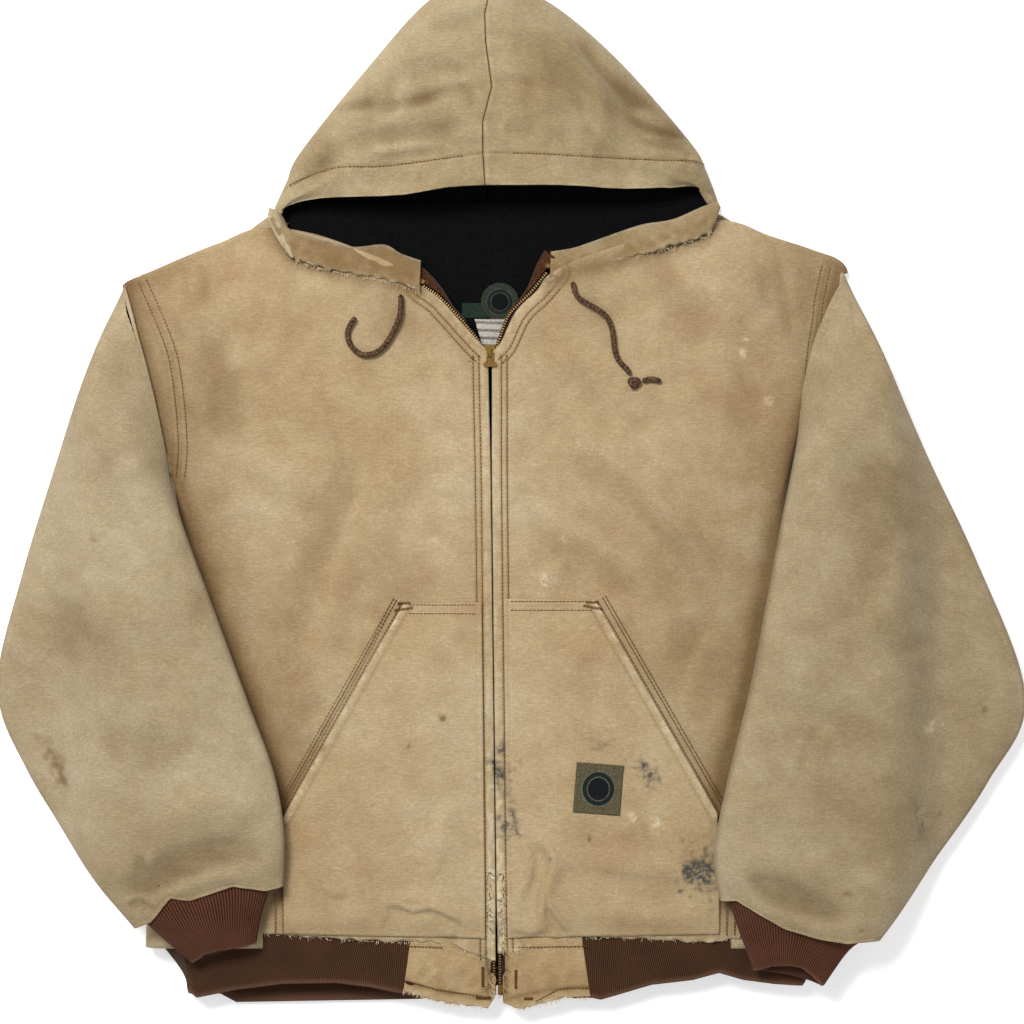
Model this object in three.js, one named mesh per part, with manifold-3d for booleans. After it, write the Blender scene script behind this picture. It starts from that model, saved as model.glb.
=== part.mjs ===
// A hooded work jacket in cotton duck, lying flat on its back with the zip closed and the hood spread
// above the shoulders. Millimetres. +X is the wearer's left, +Y runs from the hem to the hood, +Z is up
// off the table. Outlines are drawn from the foot of the zip (0, 0) and the finished group is moved so
// that its origin is the middle of the underside.
import * as THREE from "three";
import { mergeVertices } from "three/addons/utils/BufferGeometryUtils.js";
import Module from "manifold-3d";

// Cloth
const duck = 2; // shell cloth with its seam turnings
const quilt = 2.4; // lining and its wadding
const knit = 4; // doubled rib knit
const clear = 0.4; // gap between pieces that touch
const seamGap = 1; // between the front and the back along the side seam

// Depths of the hollow parts as they lie, from the table or from what they lie on
const bodyDepth = 30;
const sleeveDepth = 34;
const hoodDepth = 56;
const hoodEdgeDepth = 9;
const cuffDepth = 18;
const cuffMouthDepth = 15;
const shoulderDepth = 12;
const rimThickness = 6.4;
const pocketRise = 4.8;
const cuffInsert = 0.12; // share of the cuff that sits inside the sleeve

// Zip
const zipFoot = new THREE.Vector2(2.6, 13);
const zipHead = new THREE.Vector2(-3.4, 553);
const chainGap = 0.7; // half the gap that the slider's post runs in
const chainWidth = 2.8;
const tapeWidth = 10.2;
const facingWidth = 20;
const placketGap = 2.4; // half the gap between the two front edges
const chainHigh = bodyDepth - duck - 2.5;
const chainLow = chainHigh - 4.5;
const tapeLow = chainLow + 1.5;
const tapeHigh = tapeLow + 1;
const sliderLength = 13;
const sliderWidth = 9;
const plate = 1.5;
const bridgeHalf = 0.8;
const pullThickness = 1.4;

// Drawcord
const cordDiameter = 5;
const cordSides = 8;
const channel = cordDiameter + 3.6; // room for the cord in the hood's casing
const casingReach = 0.5; // how far towards each corner the hidden cord runs
const knotRadius = 5.2;
const knotSquash = 0.62;

// Labels
const patchSize = [40, 43];
const patchTurn = -4.5; // degrees
const labelRadius = 16.5;
const labelThickness = 0.9;

// Waist rib
const ribTop = 61;
const ribFoot = { front: 7, back: -5 };
const ribSides = { top: [-297, 296], foot: [-266, 272] };
const ribEnds = [-60, 66]; // where it meets the waist tabs

// Outlines, one set for each side of the wearer. Each edge is a smooth curve through its points.
const sides = {
  right: {
    way: -1,
    zip: [[-3.4, 553], [-9, 565], [-20.6, 580.5], [-33.5, 595], [-46.4, 608], [-59.3, 616.6]],
    hem: [[-186, 56], [-72, 49], [0, 43]],
    neck: [[-6, 557], [-25, 577], [-37, 591], [-62, 611], [-100, 638], [-190, 662], [-240, 648], [-286, 619]],
    seam: [[-186, 56], [-225, 200], [-262, 360], [-270, 430], [-272, 520], [-275, 575], [-286, 619]],
    liningNeck: [[-100, 612], [-140, 640], [-190, 648], [-240, 632]],
    side: [[-303, 44], [-298, 200], [-295, 330], [-290, 430], [-292, 520], [-298, 621]],
    pocketTop: [-78, 341],
    pocketSide: [-181, 158],
    pocketFoot: [-181, 57],
    tab: [[-72, 48], [-78, 7.5], [-41, -2.6], [-5, -7], [0, 9], [0, 42]],
    sleeveOut: [[-320, 616], [-370, 485], [-408.5, 363], [-429, 267], [-403, 196], [-359, 128], [-307, 64]],
    sleeveIn: [[-278, 448], [-264, 404], [-238, 334], [-210, 258], [-188, 198], [-179, 145], [-180, 100]],
    cuffOut: [[-296, 74], [-260, 35]],
    cuffIn: [[-189, 104], [-202, 54]],
    hoodTop: [[-6, 877], [-53, 862], [-111, 800], [-167, 731], [-180, 705], [-192, 682]],
    hoodFace: [[-6, 699], [-38, 697], [-81, 691], [-145, 690], [-175, 685], [-190, 676]],
    hoodNape: [[-6, 658], [-50, 668], [-100, 673], [-150, 674], [-175, 672], [-190, 669]],
    rimUp: [[-190, 670], [-172, 664], [-121, 649], [-95, 651], [-78, 642], [-64, 638]],
    rimLow: [[-193, 664], [-175, 640], [-145, 629], [-102, 621], [-83, 616], [-64, 610]],
    cord: [
      [-80, 606.5], [-80, 602], [-80, 597], [-80.5, 591], [-82, 585], [-84.5, 579], [-87.5, 573],
      [-91, 567], [-95.5, 561], [-101, 557], [-107, 555], [-113, 555], [-118.5, 558], [-123, 563],
      [-125.5, 569], [-125.5, 575], [-123, 581], [-119, 587],
    ],
  },
  left: {
    way: 1,
    zip: [[-3.4, 553], [0.5, 565], [9.5, 589], [18, 599.4], [31, 612.3], [44.7, 629.5]],
    hem: [[203, 56], [63, 53], [0, 48]],
    neck: [[0, 557], [6.5, 572], [14, 587], [34, 608], [50, 625], [100, 646], [190, 668], [240, 654], [280, 633]],
    seam: [[203, 56], [233, 200], [262, 360], [270, 430], [268, 520], [270, 585], [280, 633]],
    liningNeck: [[100, 618], [140, 648], [190, 652], [240, 636]],
    side: [[300, 44], [298, 200], [295, 330], [290, 430], [288, 520], [292, 636]],
    pocketTop: [87, 344],
    pocketSide: [192, 161],
    pocketFoot: [194, 57],
    tab: [[79, 51], [83, 2.5], [58, 1], [25, -8.5], [13, 0], [7.5, 45]],
    sleeveOut: [[305, 615], [349, 523], [415.4, 381], [459, 260], [427, 187], [375, 112], [330, 54]],
    sleeveIn: [[263, 490], [250, 434], [233, 344], [218, 267], [200, 193], [188, 129], [193, 88]],
    cuffOut: [[316, 64], [283, 16]],
    cuffIn: [[201, 90], [222, 30]],
    hoodTop: [[-6, 877], [44, 860], [105, 811], [169, 740], [184, 714], [194, 688]],
    hoodFace: [[-6, 699], [58, 699], [110, 697], [150, 698], [178, 696], [193, 684]],
    hoodNape: [[-6, 658], [50, 671], [100, 678], [150, 680], [175, 679], [192, 676]],
    rimUp: [[190, 676], [180, 678], [126, 668], [86, 654], [68, 648], [49, 645]],
    rimLow: [[195, 674], [180, 658], [126, 641], [86, 631], [68, 627], [48, 618]],
    cord: [
      [68, 617.5], [68.5, 613], [70, 608], [73, 603.5], [77.5, 600.5], [82.5, 597.5], [88, 594.5],
      [93, 591], [97, 587], [99.5, 582], [101.5, 576], [102.5, 570], [103, 564], [104, 558],
      [106, 552], [109.5, 547], [114, 542.5], [117, 538],
    ],
  },
};
const bodyTop = [[-298, 620], [-240, 648], [-190, 664], [-100, 668], [0, 650],
  [100, 672], [190, 672], [240, 657], [292, 636]];
const knotPlace = [120.5, 530.8];
const cordTail = [[127.5, 532], [131, 533.2], [135, 533.8], [139, 533.2], [143.5, 532]];
const patchPlace = [89.6, 182];
const emblemPlace = [5, 602];
const tapePlace = [-14, 593.5];
const foldedTagPlace = [-2, 573];

const finish = (color, roughness, metalness = 0) =>
  new THREE.MeshStandardMaterial({ color, roughness, metalness });
const washedDuck = finish(0xb39c77, 0.95);
const sleeveDuck = finish(0xa89673, 0.95);
const hoodDuck = finish(0xaa9973, 0.95);
const facingDuck = finish(0x8a7050, 0.95);
const rustFacing = finish(0x6b4226, 0.95);
const ribKnit = finish(0x4a3122, 1);
const cuffKnit = finish(0x55362a, 1);
const blackLining = finish(0x08090a, 0.9);
const zipTape = finish(0x2b1a1c, 0.9);
const brass = finish(0x8a6a35, 0.4, 1);
const braid = finish(0x543e2e, 0.9);
const wovenPatch = finish(0x5f583f, 0.9);
const wovenEmblem = finish(0x3d4133, 0.9);
const greenTape = finish(0x1b2a1e, 0.9);
const whiteTag = finish(0xb9b2a8, 0.8);

const { sin, cos, abs, sign, sqrt, PI } = Math;
const { lerp, smoothstep, degToRad } = THREE.MathUtils;
const vector = ([x, y]) => new THREE.Vector2(x, y);
const curve = (points) => new THREE.SplineCurve(points.map(vector));
const spread = (points, cells) => curve(points).getSpacedPoints(cells);
const straight = (a, b, cells) =>
  Array.from({ length: cells + 1 }, (_, i) => vector(a).lerp(vector(b), i / cells));
const steps = (count, from = 0, to = 1) =>
  Array.from({ length: count + 1 }, (_, i) => lerp(from, to, i / count));

// X of the middle of the closed zip at a height on the front.
const zipX = (y) => lerp(zipFoot.x, zipHead.x, (y - zipFoot.y) / (zipHead.y - zipFoot.y));

// Turns the faces outwards, which they are when the enclosed volume is positive.
function outward(geometry) {
  const p = geometry.getAttribute("position");
  const index = geometry.getIndex();
  const corner = (k) => new THREE.Vector3().fromBufferAttribute(p, index.getX(k));
  let volume = 0;
  for (let k = 0; k < index.count; k += 3) {
    volume += corner(k).dot(corner(k + 1).cross(corner(k + 2)));
  }
  if (volume < 0) {
    geometry.setIndex(Array.from(index.array).reverse());
  }
  return geometry;
}

// A closed sheet between two skins of the same grid of points. A round one joins its first column to
// its last.
function shell(outer, inner, round = false) {
  const rows = outer.length;
  const columns = outer[0].length;
  const index = [];
  const at = (skin, i, j) => (skin * rows + i) * columns + (j % columns);
  const quad = (a, b, c, d) => index.push(a, b, c, a, c, d);
  const last = round ? columns : columns - 1;
  for (let i = 0; i < rows - 1; i++) {
    for (let j = 0; j < last; j++) {
      quad(at(0, i, j), at(0, i, j + 1), at(0, i + 1, j + 1), at(0, i + 1, j));
      quad(at(1, i, j), at(1, i + 1, j), at(1, i + 1, j + 1), at(1, i, j + 1));
    }
  }
  for (let j = 0; j < last; j++) {
    quad(at(0, 0, j + 1), at(0, 0, j), at(1, 0, j), at(1, 0, j + 1));
    quad(at(0, rows - 1, j), at(0, rows - 1, j + 1), at(1, rows - 1, j + 1), at(1, rows - 1, j));
  }
  for (let i = 0; i < (round ? 0 : rows - 1); i++) {
    quad(at(0, i, 0), at(0, i + 1, 0), at(1, i + 1, 0), at(1, i, 0));
    quad(at(0, i + 1, last), at(0, i, last), at(1, i, last), at(1, i + 1, last));
  }
  const geometry = new THREE.BufferGeometry();
  const points = [...outer, ...inner].flat(2);
  geometry.setAttribute("position", new THREE.Float32BufferAttribute(points, 3));
  geometry.setIndex(index);
  return outward(geometry);
}

// Fills the area between four edges that meet at the corners, with the edges' own spacing.
function patch(bottom, top, inner, outer) {
  const n = bottom.length - 1;
  const m = inner.length - 1;
  return inner.map((left, j) =>
    bottom.map((low, i) => {
      const [u, v] = [i / n, j / m];
      const across = (key) => lerp(left[key], outer[j][key], u) + lerp(low[key], top[i][key], v);
      const corners = (key) =>
        lerp(lerp(bottom[0][key], bottom[n][key], u), lerp(top[0][key], top[n][key], u), v);
      return { u, v, x: across("x") - corners("x"), y: across("y") - corners("y") };
    }),
  );
}

// A flat sheet over a grid of places, between two heights that are numbers or functions of the place.
function layer(grid, low, high) {
  const height = (h, place) => (typeof h === "function" ? h(place) : h);
  const lift = (h) => grid.map((row) => row.map((p) => [p.x, p.y, height(h, p)]));
  return shell(lift(high), lift(low));
}

// Joins solids that touch or overlap into one.
const wasm = await Module();
wasm.setup();
function joined(...geometries) {
  const solids = geometries.map((geometry) => {
    geometry.deleteAttribute("normal");
    geometry.deleteAttribute("uv");
    const merged = mergeVertices(geometry, 1e-4);
    const vertProperties = merged.getAttribute("position").array;
    const triVerts = new Uint32Array(merged.getIndex().array);
    return new wasm.Manifold(new wasm.Mesh({ numProp: 3, vertProperties, triVerts }));
  });
  const mesh = solids.reduce((whole, solid) => whole.add(solid)).getMesh();
  const geometry = new THREE.BufferGeometry();
  geometry.setAttribute("position", new THREE.BufferAttribute(mesh.vertProperties, 3));
  geometry.setIndex(new THREE.BufferAttribute(mesh.triVerts, 1));
  return geometry;
}

const group = new THREE.Group();
function add(name, geometry, material, place) {
  const mesh = new THREE.Mesh(geometry, material);
  mesh.name = name;
  if (place) mesh.position.set(...place);
  group.add(mesh);
  return mesh;
}

// Body. The back wraps round both sides to seams on the front. One row is its section at a share v of
// the way from hem to shoulder, at a depth inside the outer face.
function acrossAt(points) {
  const line = curve(points).getPoints(80);
  return (y) => {
    const found = line.findIndex((p) => p.y >= y);
    const next = found < 0 ? line.length - 1 : Math.max(found, 1);
    const [a, b] = [line[next - 1], line[next]];
    return lerp(a.x, b.x, (y - a.y) / (b.y - a.y));
  };
}
const topLine = curve(bodyTop).getPoints(80);
function topAt(x) {
  const next = topLine.findIndex((p) => p.x >= x);
  if (next < 1) return topLine[next < 0 ? topLine.length - 1 : 0].y;
  const [a, b] = [topLine[next - 1], topLine[next]];
  return lerp(a.y, b.y, (x - a.x) / (b.x - a.x));
}
const backHem = 44;
const bodyHeight = (v) => lerp(bodyDepth, shoulderDepth, smoothstep(v, 0.9, 1));
const heightAt = (x, v) => backHem + (topAt(x) - backHem) * v;
const edgeLines = ({ side, seam }) => ({ side: acrossAt(side), seam: acrossAt(seam) });
const edges = { right: edgeLines(sides.right), left: edgeLines(sides.left) };

function bodyRow(v, inset) {
  const height = bodyHeight(v);
  const radius = height / 2;
  const row = [];
  const put = (x, z) => row.push([x, heightAt(x, v), z]);
  const { right, left } = edges;
  const follow = (line, x) => line(heightAt(line(heightAt(x, v)), v));
  const [sideRight, sideLeft] = [follow(right.side, -295), follow(left.side, 292)];
  const seamRight = follow(right.seam, -270) - seamGap - inset;
  const seamLeft = follow(left.seam, 270) + seamGap + inset;
  const roll = steps(4, 0, PI).map((a) => [(radius - inset) * sin(a), radius + (radius - inset) * cos(a)]);
  for (const t of steps(2).slice(0, -1)) put(lerp(seamRight, sideRight + radius, t), height - inset);
  for (const [reach, z] of roll) put(sideRight + radius - reach, z);
  for (const t of steps(6).slice(1, -1)) put(lerp(sideRight + radius, sideLeft - radius, t), inset);
  for (const [reach, z] of roll.reverse()) put(sideLeft - radius + reach, z);
  for (const t of steps(2).slice(1)) put(lerp(sideLeft - radius, seamLeft, t), height - inset);
  return row;
}
const liningStart = 0.04;
const backStations = [0, liningStart, ...steps(9).slice(1)];
const backRows = (inset, from) => backStations.slice(from).map((v) => bodyRow(v, inset));
add("back_panel", shell(backRows(0, 0), backRows(duck, 0)), washedDuck);
const liningInset = duck + clear;
const liningHem = 67;
add("back_lining", shell(backRows(liningInset, 1), backRows(liningInset + quilt, 1)), blackLining);

// Height of the top face of the fronts: level over the chest and falling to the shoulder seam. The
// lining falls away a little sooner.
function frontHeight(x, y) {
  const share = (y - backHem) / (topAt(x) - backHem);
  return lerp(bodyDepth, bodyHeight(share), smoothstep(abs(x), 95, 150));
}

// Bands that run beside the zip, at a distance from the line where the two chains meet.
function zipLine(side) {
  const foot = [zipFoot.x, zipFoot.y];
  const neck = curve(side.zip).getSpacedPoints(7);
  return [vector(foot), ...neck];
}
function band(side, from, to, low, high, line = zipLine(side)) {
  const grid = line.map((p, i) => {
    const before = line[Math.max(i - 1, 0)];
    const after = line[Math.min(i + 1, line.length - 1)];
    const along = after.clone().sub(before).normalize();
    const out = new THREE.Vector2(-along.y, along.x).multiplyScalar(-side.way);
    return [from, to].map((distance) => p.clone().addScaledVector(out, distance));
  });
  return layer(grid, low, high);
}

// A route's tube. Its section is a regular polygon of the cord's diameter.
function tube(route, height) {
  const path = new THREE.CatmullRomCurve3(route.map(([x, y, z = height]) => new THREE.Vector3(x, y, z)));
  const turns = steps(cordSides, 0, 2 * PI).slice(0, -1);
  const ring = new THREE.Shape(turns.map((a) => vector([cos(a), sin(a)]).multiplyScalar(cordDiameter / 2)));
  const stations = Math.ceil(path.getLength() / (2 * cordDiameter));
  return new THREE.ExtrudeGeometry(ring, { steps: stations, extrudePath: path });
}

const onFront = bodyDepth + clear;
const cordLevel = onFront + cordDiameter / 2;
const liningTop = bodyDepth - liningInset;
const lap = bodyDepth + 1.5; // height of the sleeves where they lie on the body
for (const [name, side] of Object.entries(sides)) {
  const { way } = side;
  const besideZip = (y, distance) => [zipX(y) + way * distance, y];

  // Front panel
  const hemEnd = side.hem[2][1];
  const hemLine = [besideZip(hemEnd, placketGap), side.hem[1], side.hem[0]];
  const neckStart = besideZip(side.neck[0][1], placketGap);
  const frontGrid = patch(
    spread(hemLine, 10),
    spread([neckStart, ...side.neck.slice(1)], 10),
    straight(hemLine[0], neckStart, 9),
    spread(side.seam, 9),
  );
  const frontFace = ({ x, y }) => frontHeight(x, y);
  add(`front_panel_${name}`, layer(frontGrid, (p) => frontFace(p) - duck, frontFace), washedDuck);

  // Lining of the front, from the zip's facing to the side seam
  const facingEdge = chainGap + chainWidth + clear + tapeWidth + clear + facingWidth;
  const liningEdge = facingEdge + 2;
  const liningFoot = besideZip(liningHem, liningEdge);
  const liningHead = besideZip(525, liningEdge);
  const liningSide = side.seam.map(([x, y]) => [x - way * 2.5, Math.max(y - 8, liningHem)]);
  const liningGrid = patch(
    straight(liningFoot, liningSide[0], 6),
    spread([liningHead, ...side.liningNeck, liningSide[liningSide.length - 1]], 6),
    straight(liningFoot, liningHead, 7),
    spread(liningSide, 7),
  );
  const liningFace = ({ x, y }) => frontHeight(1.15 * x, y + 16) - liningInset;
  add(`front_lining_${name}`, layer(liningGrid, (p) => liningFace(p) - quilt, liningFace), blackLining);

  // Zip half: chain, tape, facing, and the stop at its head
  const chainEdge = chainGap + chainWidth;
  const tapeEdge = chainEdge + clear + tapeWidth;
  add(`zipper_teeth_${name}`, band(side, chainGap, chainEdge, chainLow, chainHigh), brass);
  add(`zipper_tape_${name}`, band(side, chainEdge + clear, tapeEdge, tapeLow, tapeHigh), zipTape);
  const facingLine = zipLine(side).slice(0, -1);
  facingLine[0] = vector(besideZip(liningHem, 0));
  add(
    `front_facing_${name}`,
    band(side, tapeEdge + clear, facingEdge, liningTop - quilt, liningTop, facingLine),
    rustFacing,
  );
  const head = vector(side.zip[side.zip.length - 1]);
  const beyond = head.clone().sub(vector(side.zip[side.zip.length - 2])).setLength(3);
  const stopPlace = head.clone().add(beyond);
  const stop = new THREE.BoxGeometry(3.4, 3.4, chainHigh - chainLow);
  stop.rotateZ(beyond.angle());
  add(`zipper_top_stop_${name}`, stop, brass, [stopPlace.x, stopPlace.y, (chainLow + chainHigh) / 2]);

  // Pocket: sewn down at the top, the zip, the hem and the foot of its side, open on its slant
  const pocketFoot = besideZip(hemEnd + 2, 10);
  const pocketHead = besideZip(side.pocketTop[1] + 1, 10);
  const slantCells = 6;
  const pocketCells = 9;
  const pocketGrid = patch(
    straight(pocketFoot, side.pocketFoot, 8),
    straight(pocketHead, side.pocketTop, 8),
    straight(pocketFoot, pocketHead, pocketCells),
    [
      ...straight(side.pocketFoot, side.pocketSide, pocketCells - slantCells).slice(0, -1),
      ...straight(side.pocketSide, side.pocketTop, slantCells),
    ],
  );
  const slantStart = 1 - slantCells / pocketCells;
  const pocketFloor = ({ u, v }) => {
    const sewn = smoothstep(u, 0, 0.1) * smoothstep(v, 0, 0.1) * smoothstep(1 - v, 0, 0.08);
    const shut = (1 - smoothstep(v, slantStart, slantStart + 0.08)) * smoothstep(u, 0.85, 1);
    return onFront + pocketRise * sewn * (1 - shut);
  };
  add(`pocket_${name}`, layer(pocketGrid, pocketFloor, (p) => pocketFloor(p) + duck), washedDuck);

  // Waist tab at the foot of the placket
  const tabPoints = side.tab.map(([x, y], i) => (i > 2 && way < 0 ? [x + zipX(y) - placketGap, y] : [x, y]));
  const tab = new THREE.Shape(tabPoints.map(vector));
  const tabDepth = { depth: duck + clear, bevelEnabled: false };
  const tabPlace = [0, -clear, bodyDepth - duck];
  const tabGeometry = new THREE.ExtrudeGeometry(tab, tabDepth);
  add(`waist_tab_${name}`, tabGeometry, washedDuck, tabPlace);

  // Sleeve: a flattened tube that lies on the body's side and runs down to the table beyond it
  const out = curve(side.sleeveOut);
  const inn = curve(side.sleeveIn);
  const drape = (x) => lap * (1 - smoothstep(abs(x), 334, 388));
  const sleeveRow = (v, inset, depth = sleeveDepth) => {
    const [a, b] = [out.getPoint(v), inn.getPoint(v)];
    const middle = a.clone().lerp(b, 0.5);
    const half = b.clone().sub(a).multiplyScalar(0.5);
    const share = 1 - inset / half.length();
    return steps(16, 0, 2 * PI).slice(0, -1).map((turn) => {
      const c = sign(cos(turn)) * sqrt(abs(cos(turn)));
      const p = middle.clone().addScaledVector(half, share * c);
      const outerX = middle.x + half.x * c;
      const rise = sign(sin(turn)) * (depth / 2 - inset) * sqrt(1 - c ** 4);
      return [p.x, p.y, drape(outerX) + sleeveDepth / 2 + rise];
    });
  };
  const elbow = 1 / 3;
  const split = 0.004;
  const upper = steps(3, 0, elbow - split);
  const lower = steps(7, elbow + split, 1);
  const addTube = (piece, stations, inset, thickness, material) => {
    const skins = [inset, inset + thickness].map((i) => stations.map((v) => sleeveRow(v, i)));
    add(piece, shell(...skins, true), material);
  };
  addTube(`sleeve_upper_${name}`, upper, 0, duck, sleeveDuck);
  addTube(`sleeve_lower_${name}`, lower, 0, duck, sleeveDuck);
  addTube(`sleeve_lining_upper_${name}`, upper, duck + 2 * clear, quilt, blackLining);
  addTube(`sleeve_lining_lower_${name}`, lower.slice(0, -1), duck + 2 * clear, quilt, blackLining);

  // Cuff
  const cuffRow = (t, inset) => {
    const [a, b] = [side.cuffOut, side.cuffIn].map(([p, q]) => vector(p).lerp(vector(q), t));
    const middle = a.clone().lerp(b, 0.5);
    const half = b.clone().sub(a).multiplyScalar(0.5);
    const reach = half.length() - inset;
    half.normalize();
    const depth = lerp(cuffDepth, cuffMouthDepth, t);
    const mouthLevel = lap + 2 + cuffMouthDepth / 2;
    const level = lerp(lap + sleeveDepth / 2, mouthLevel, smoothstep(t, 0, 0.7));
    return steps(16, 0, 2 * PI).slice(0, -1).map((turn) => {
      const c = sign(cos(turn)) * sqrt(abs(cos(turn)));
      const p = middle.clone().addScaledVector(half, reach * c);
      return [p.x, p.y, level + sign(sin(turn)) * (depth / 2 - inset) * sqrt(1 - c ** 4)];
    });
  };
  const cuffRows = (inset) => steps(4, -cuffInsert, 1).map((t) => cuffRow(t, inset));
  add(`cuff_${name}`, shell(cuffRows(0), cuffRows(knit), true), cuffKnit);

  // Hood half: from the face edge over the crown, round the fold, and back along the table to the nape
  const [crown, face, nape] = [side.hoodTop, side.hoodFace, side.hoodNape].map(curve);
  const hoodRow = (v, inset) => {
    const [f, s, n] = [face, crown, nape].map((edge) => edge.getPoint(v));
    const centreGap = (way * clear * (1 - v)) / 2;
    const depth = lerp(hoodDepth, hoodEdgeDepth, v ** 3);
    const radius = depth / 2;
    const away = s.clone().sub(f).normalize();
    const pivot = s.clone().addScaledVector(away, -radius);
    const insetAt = (t) => (typeof inset === "function" ? inset(t, v) : inset);
    const points = [];
    const put = (p, z) => points.push([p.x + centreGap, p.y, z]);
    for (const t of steps(5)) put(f.clone().lerp(pivot, t), depth - insetAt(t));
    for (const a of steps(4, 0, PI).slice(1, -1)) {
      const reach = radius - insetAt(1);
      put(pivot.clone().addScaledVector(away, reach * sin(a)), radius + reach * cos(a));
    }
    for (const t of steps(4)) put(pivot.clone().lerp(n, t), insetAt(1));
    return points;
  };
  const hoodRows = (inset) => steps(8).map((v) => hoodRow(v, inset));
  add(`hood_panel_${name}`, shell(hoodRows(0), hoodRows(duck)), hoodDuck);
  const casingShape = (t, v) => (1 - smoothstep(t, 0.15, 0.45)) * (1 - v ** 4);
  const besideCasing = (t, v) => duck + clear + channel * casingShape(t, v);
  const insideCasing = (t, v) => besideCasing(t, v) + quilt * lerp(1, 0.4, v);
  add(`hood_lining_${name}`, shell(hoodRows(besideCasing), hoodRows(insideCasing)), blackLining);

  // Rim of the hood's face, turned out on the chest, with its inner facing up
  const rimGrid = patch(
    spread(side.rimLow, 8),
    spread(side.rimUp, 8),
    straight(side.rimLow[0], side.rimUp[0], 2),
    straight(side.rimLow[5], side.rimUp[5], 2),
  );
  const rimTop = ({ v }) => onFront + rimThickness * lerp(0.6, 1, sin(PI * v));
  add(`hood_rim_${name}`, layer(rimGrid, onFront, rimTop), facingDuck);

  // Free end of the drawcord, lying on the chest
  add(`drawcord_${name}`, tube(side.cord, cordLevel), braid);
}

// Drawcord inside the hood's casing, from near one corner to near the other
const casingRoute = ["right", "left"].map((name) => {
  const [face, crown] = [curve(sides[name].hoodFace), curve(sides[name].hoodTop)];
  const spots = steps(4, 0, casingReach).map((v) => {
    const away = crown.getPoint(v).sub(face.getPoint(v)).normalize();
    const p = face.getPoint(v).addScaledVector(away, 7);
    const roof = lerp(hoodDepth, hoodEdgeDepth, v ** 3) - duck;
    return [p.x, p.y, roof - 3 * clear - cordDiameter / 2];
  });
  return name === "right" ? spots.reverse() : spots.slice(1);
});
add("drawcord_casing", tube(casingRoute.flat(), 0), braid);

// Knot and tail of the left drawcord
const knot = new THREE.IcosahedronGeometry(knotRadius, 1);
knot.scale(1, 0.95, knotSquash);
add("drawcord_knot", knot, braid, [...knotPlace, onFront + knotRadius * knotSquash]);
add("drawcord_tail", tube(cordTail, cordLevel), braid);

// Rib knit at the waist: one band round the back from tab to tab, sewn inside the hem
function ribRow(t, inset) {
  const [right, left] = [0, 1].map((i) => lerp(ribSides.top[i], ribSides.foot[i], smoothstep(t, 0, 1)));
  const [low, high] = [liningInset + inset, bodyDepth - liningInset - inset];
  const radius = (high - low) / 2;
  const row = [];
  const put = (x, z) => {
    const foot = lerp(ribFoot.back, ribFoot.front, (z - liningInset) / (bodyDepth - 2 * liningInset));
    row.push([x, lerp(ribTop, foot, t), z]);
  };
  const core = (bodyDepth - 2 * liningInset) / 2;
  for (const s of steps(3)) put(lerp(ribEnds[0], right + core, s), high);
  for (const a of steps(4, 0, PI).slice(1, -1)) {
    put(right + core - radius * sin(a), low + radius + radius * cos(a));
  }
  for (const s of steps(6)) put(lerp(right + core, left - core, s), low);
  for (const a of steps(4, PI, 0).slice(1, -1)) {
    put(left - core + radius * sin(a), low + radius + radius * cos(a));
  }
  for (const s of steps(3)) put(lerp(left - core, ribEnds[1], s), high);
  return row;
}
const ribRows = (inset) => steps(3).map((t) => ribRow(t, inset));
add("waist_rib", shell(ribRows(0), ribRows(knit)), ribKnit);

// Foot of the zip: retainer box on one chain and insertion pin on the other
const footHeight = chainHigh - chainLow + 1;
const footMiddle = (chainHigh + chainLow) / 2;
const footSize = { box: [6.5, 9], pin: [2.6, 9] };
const footY = zipFoot.y - footSize.box[1] / 2 - clear;
const box = new THREE.BoxGeometry(...footSize.box, footHeight);
add("zipper_box", box, brass, [zipFoot.x + chainGap + footSize.box[0] / 2, footY, footMiddle]);
const pin = new THREE.BoxGeometry(...footSize.pin, chainHigh - chainLow);
add("zipper_pin", pin, brass, [zipFoot.x - chainGap - footSize.pin[0] / 2, footY, footMiddle]);

// Slider: two plates joined by a post that runs between the chains, and a bridge for the pull.
const slope = Math.atan2(zipHead.x - zipFoot.x, zipHead.y - zipFoot.y);
const sliderY = 557;
const boxAt = (size, place) => new THREE.BoxGeometry(...size).translate(...place);
const topPlateLow = bodyDepth - duck - 0.3 - plate;
const bottomPlateHigh = chainLow - 0.6;
const postHeight = topPlateLow - bottomPlateHigh + 1;
const bridgeFoot = topPlateLow + plate;
const pullLevel = bodyDepth + 0.6 + pullThickness / 2;
const bridgeTop = pullLevel + 3.2;
const legOut = 3.6;
const legThickness = 1.2;
const legHeight = bridgeTop - bridgeFoot + 0.4;
const legMiddle = bridgeFoot - 0.4 + legHeight / 2;
const slider = joined(
  boxAt([sliderWidth, sliderLength, plate], [0, 0, topPlateLow + plate / 2]),
  boxAt([sliderWidth, sliderLength, plate], [0, 0, bottomPlateHigh - plate / 2]),
  boxAt([0.7, 5, postHeight], [0, 1, (topPlateLow + bottomPlateHigh) / 2]),
  boxAt([2 * bridgeHalf, legThickness, legHeight], [0, legOut - legThickness / 2, legMiddle]),
  boxAt([2 * bridgeHalf, legThickness, legHeight], [0, legThickness / 2 - legOut, legMiddle]),
  boxAt([2 * bridgeHalf, 2 * legOut, legThickness], [0, 0, bridgeTop - legThickness / 2]),
);
const sliderMesh = add("zipper_slider", slider, brass, [zipX(sliderY), sliderY, 0]);
sliderMesh.rotation.z = -slope;

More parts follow.
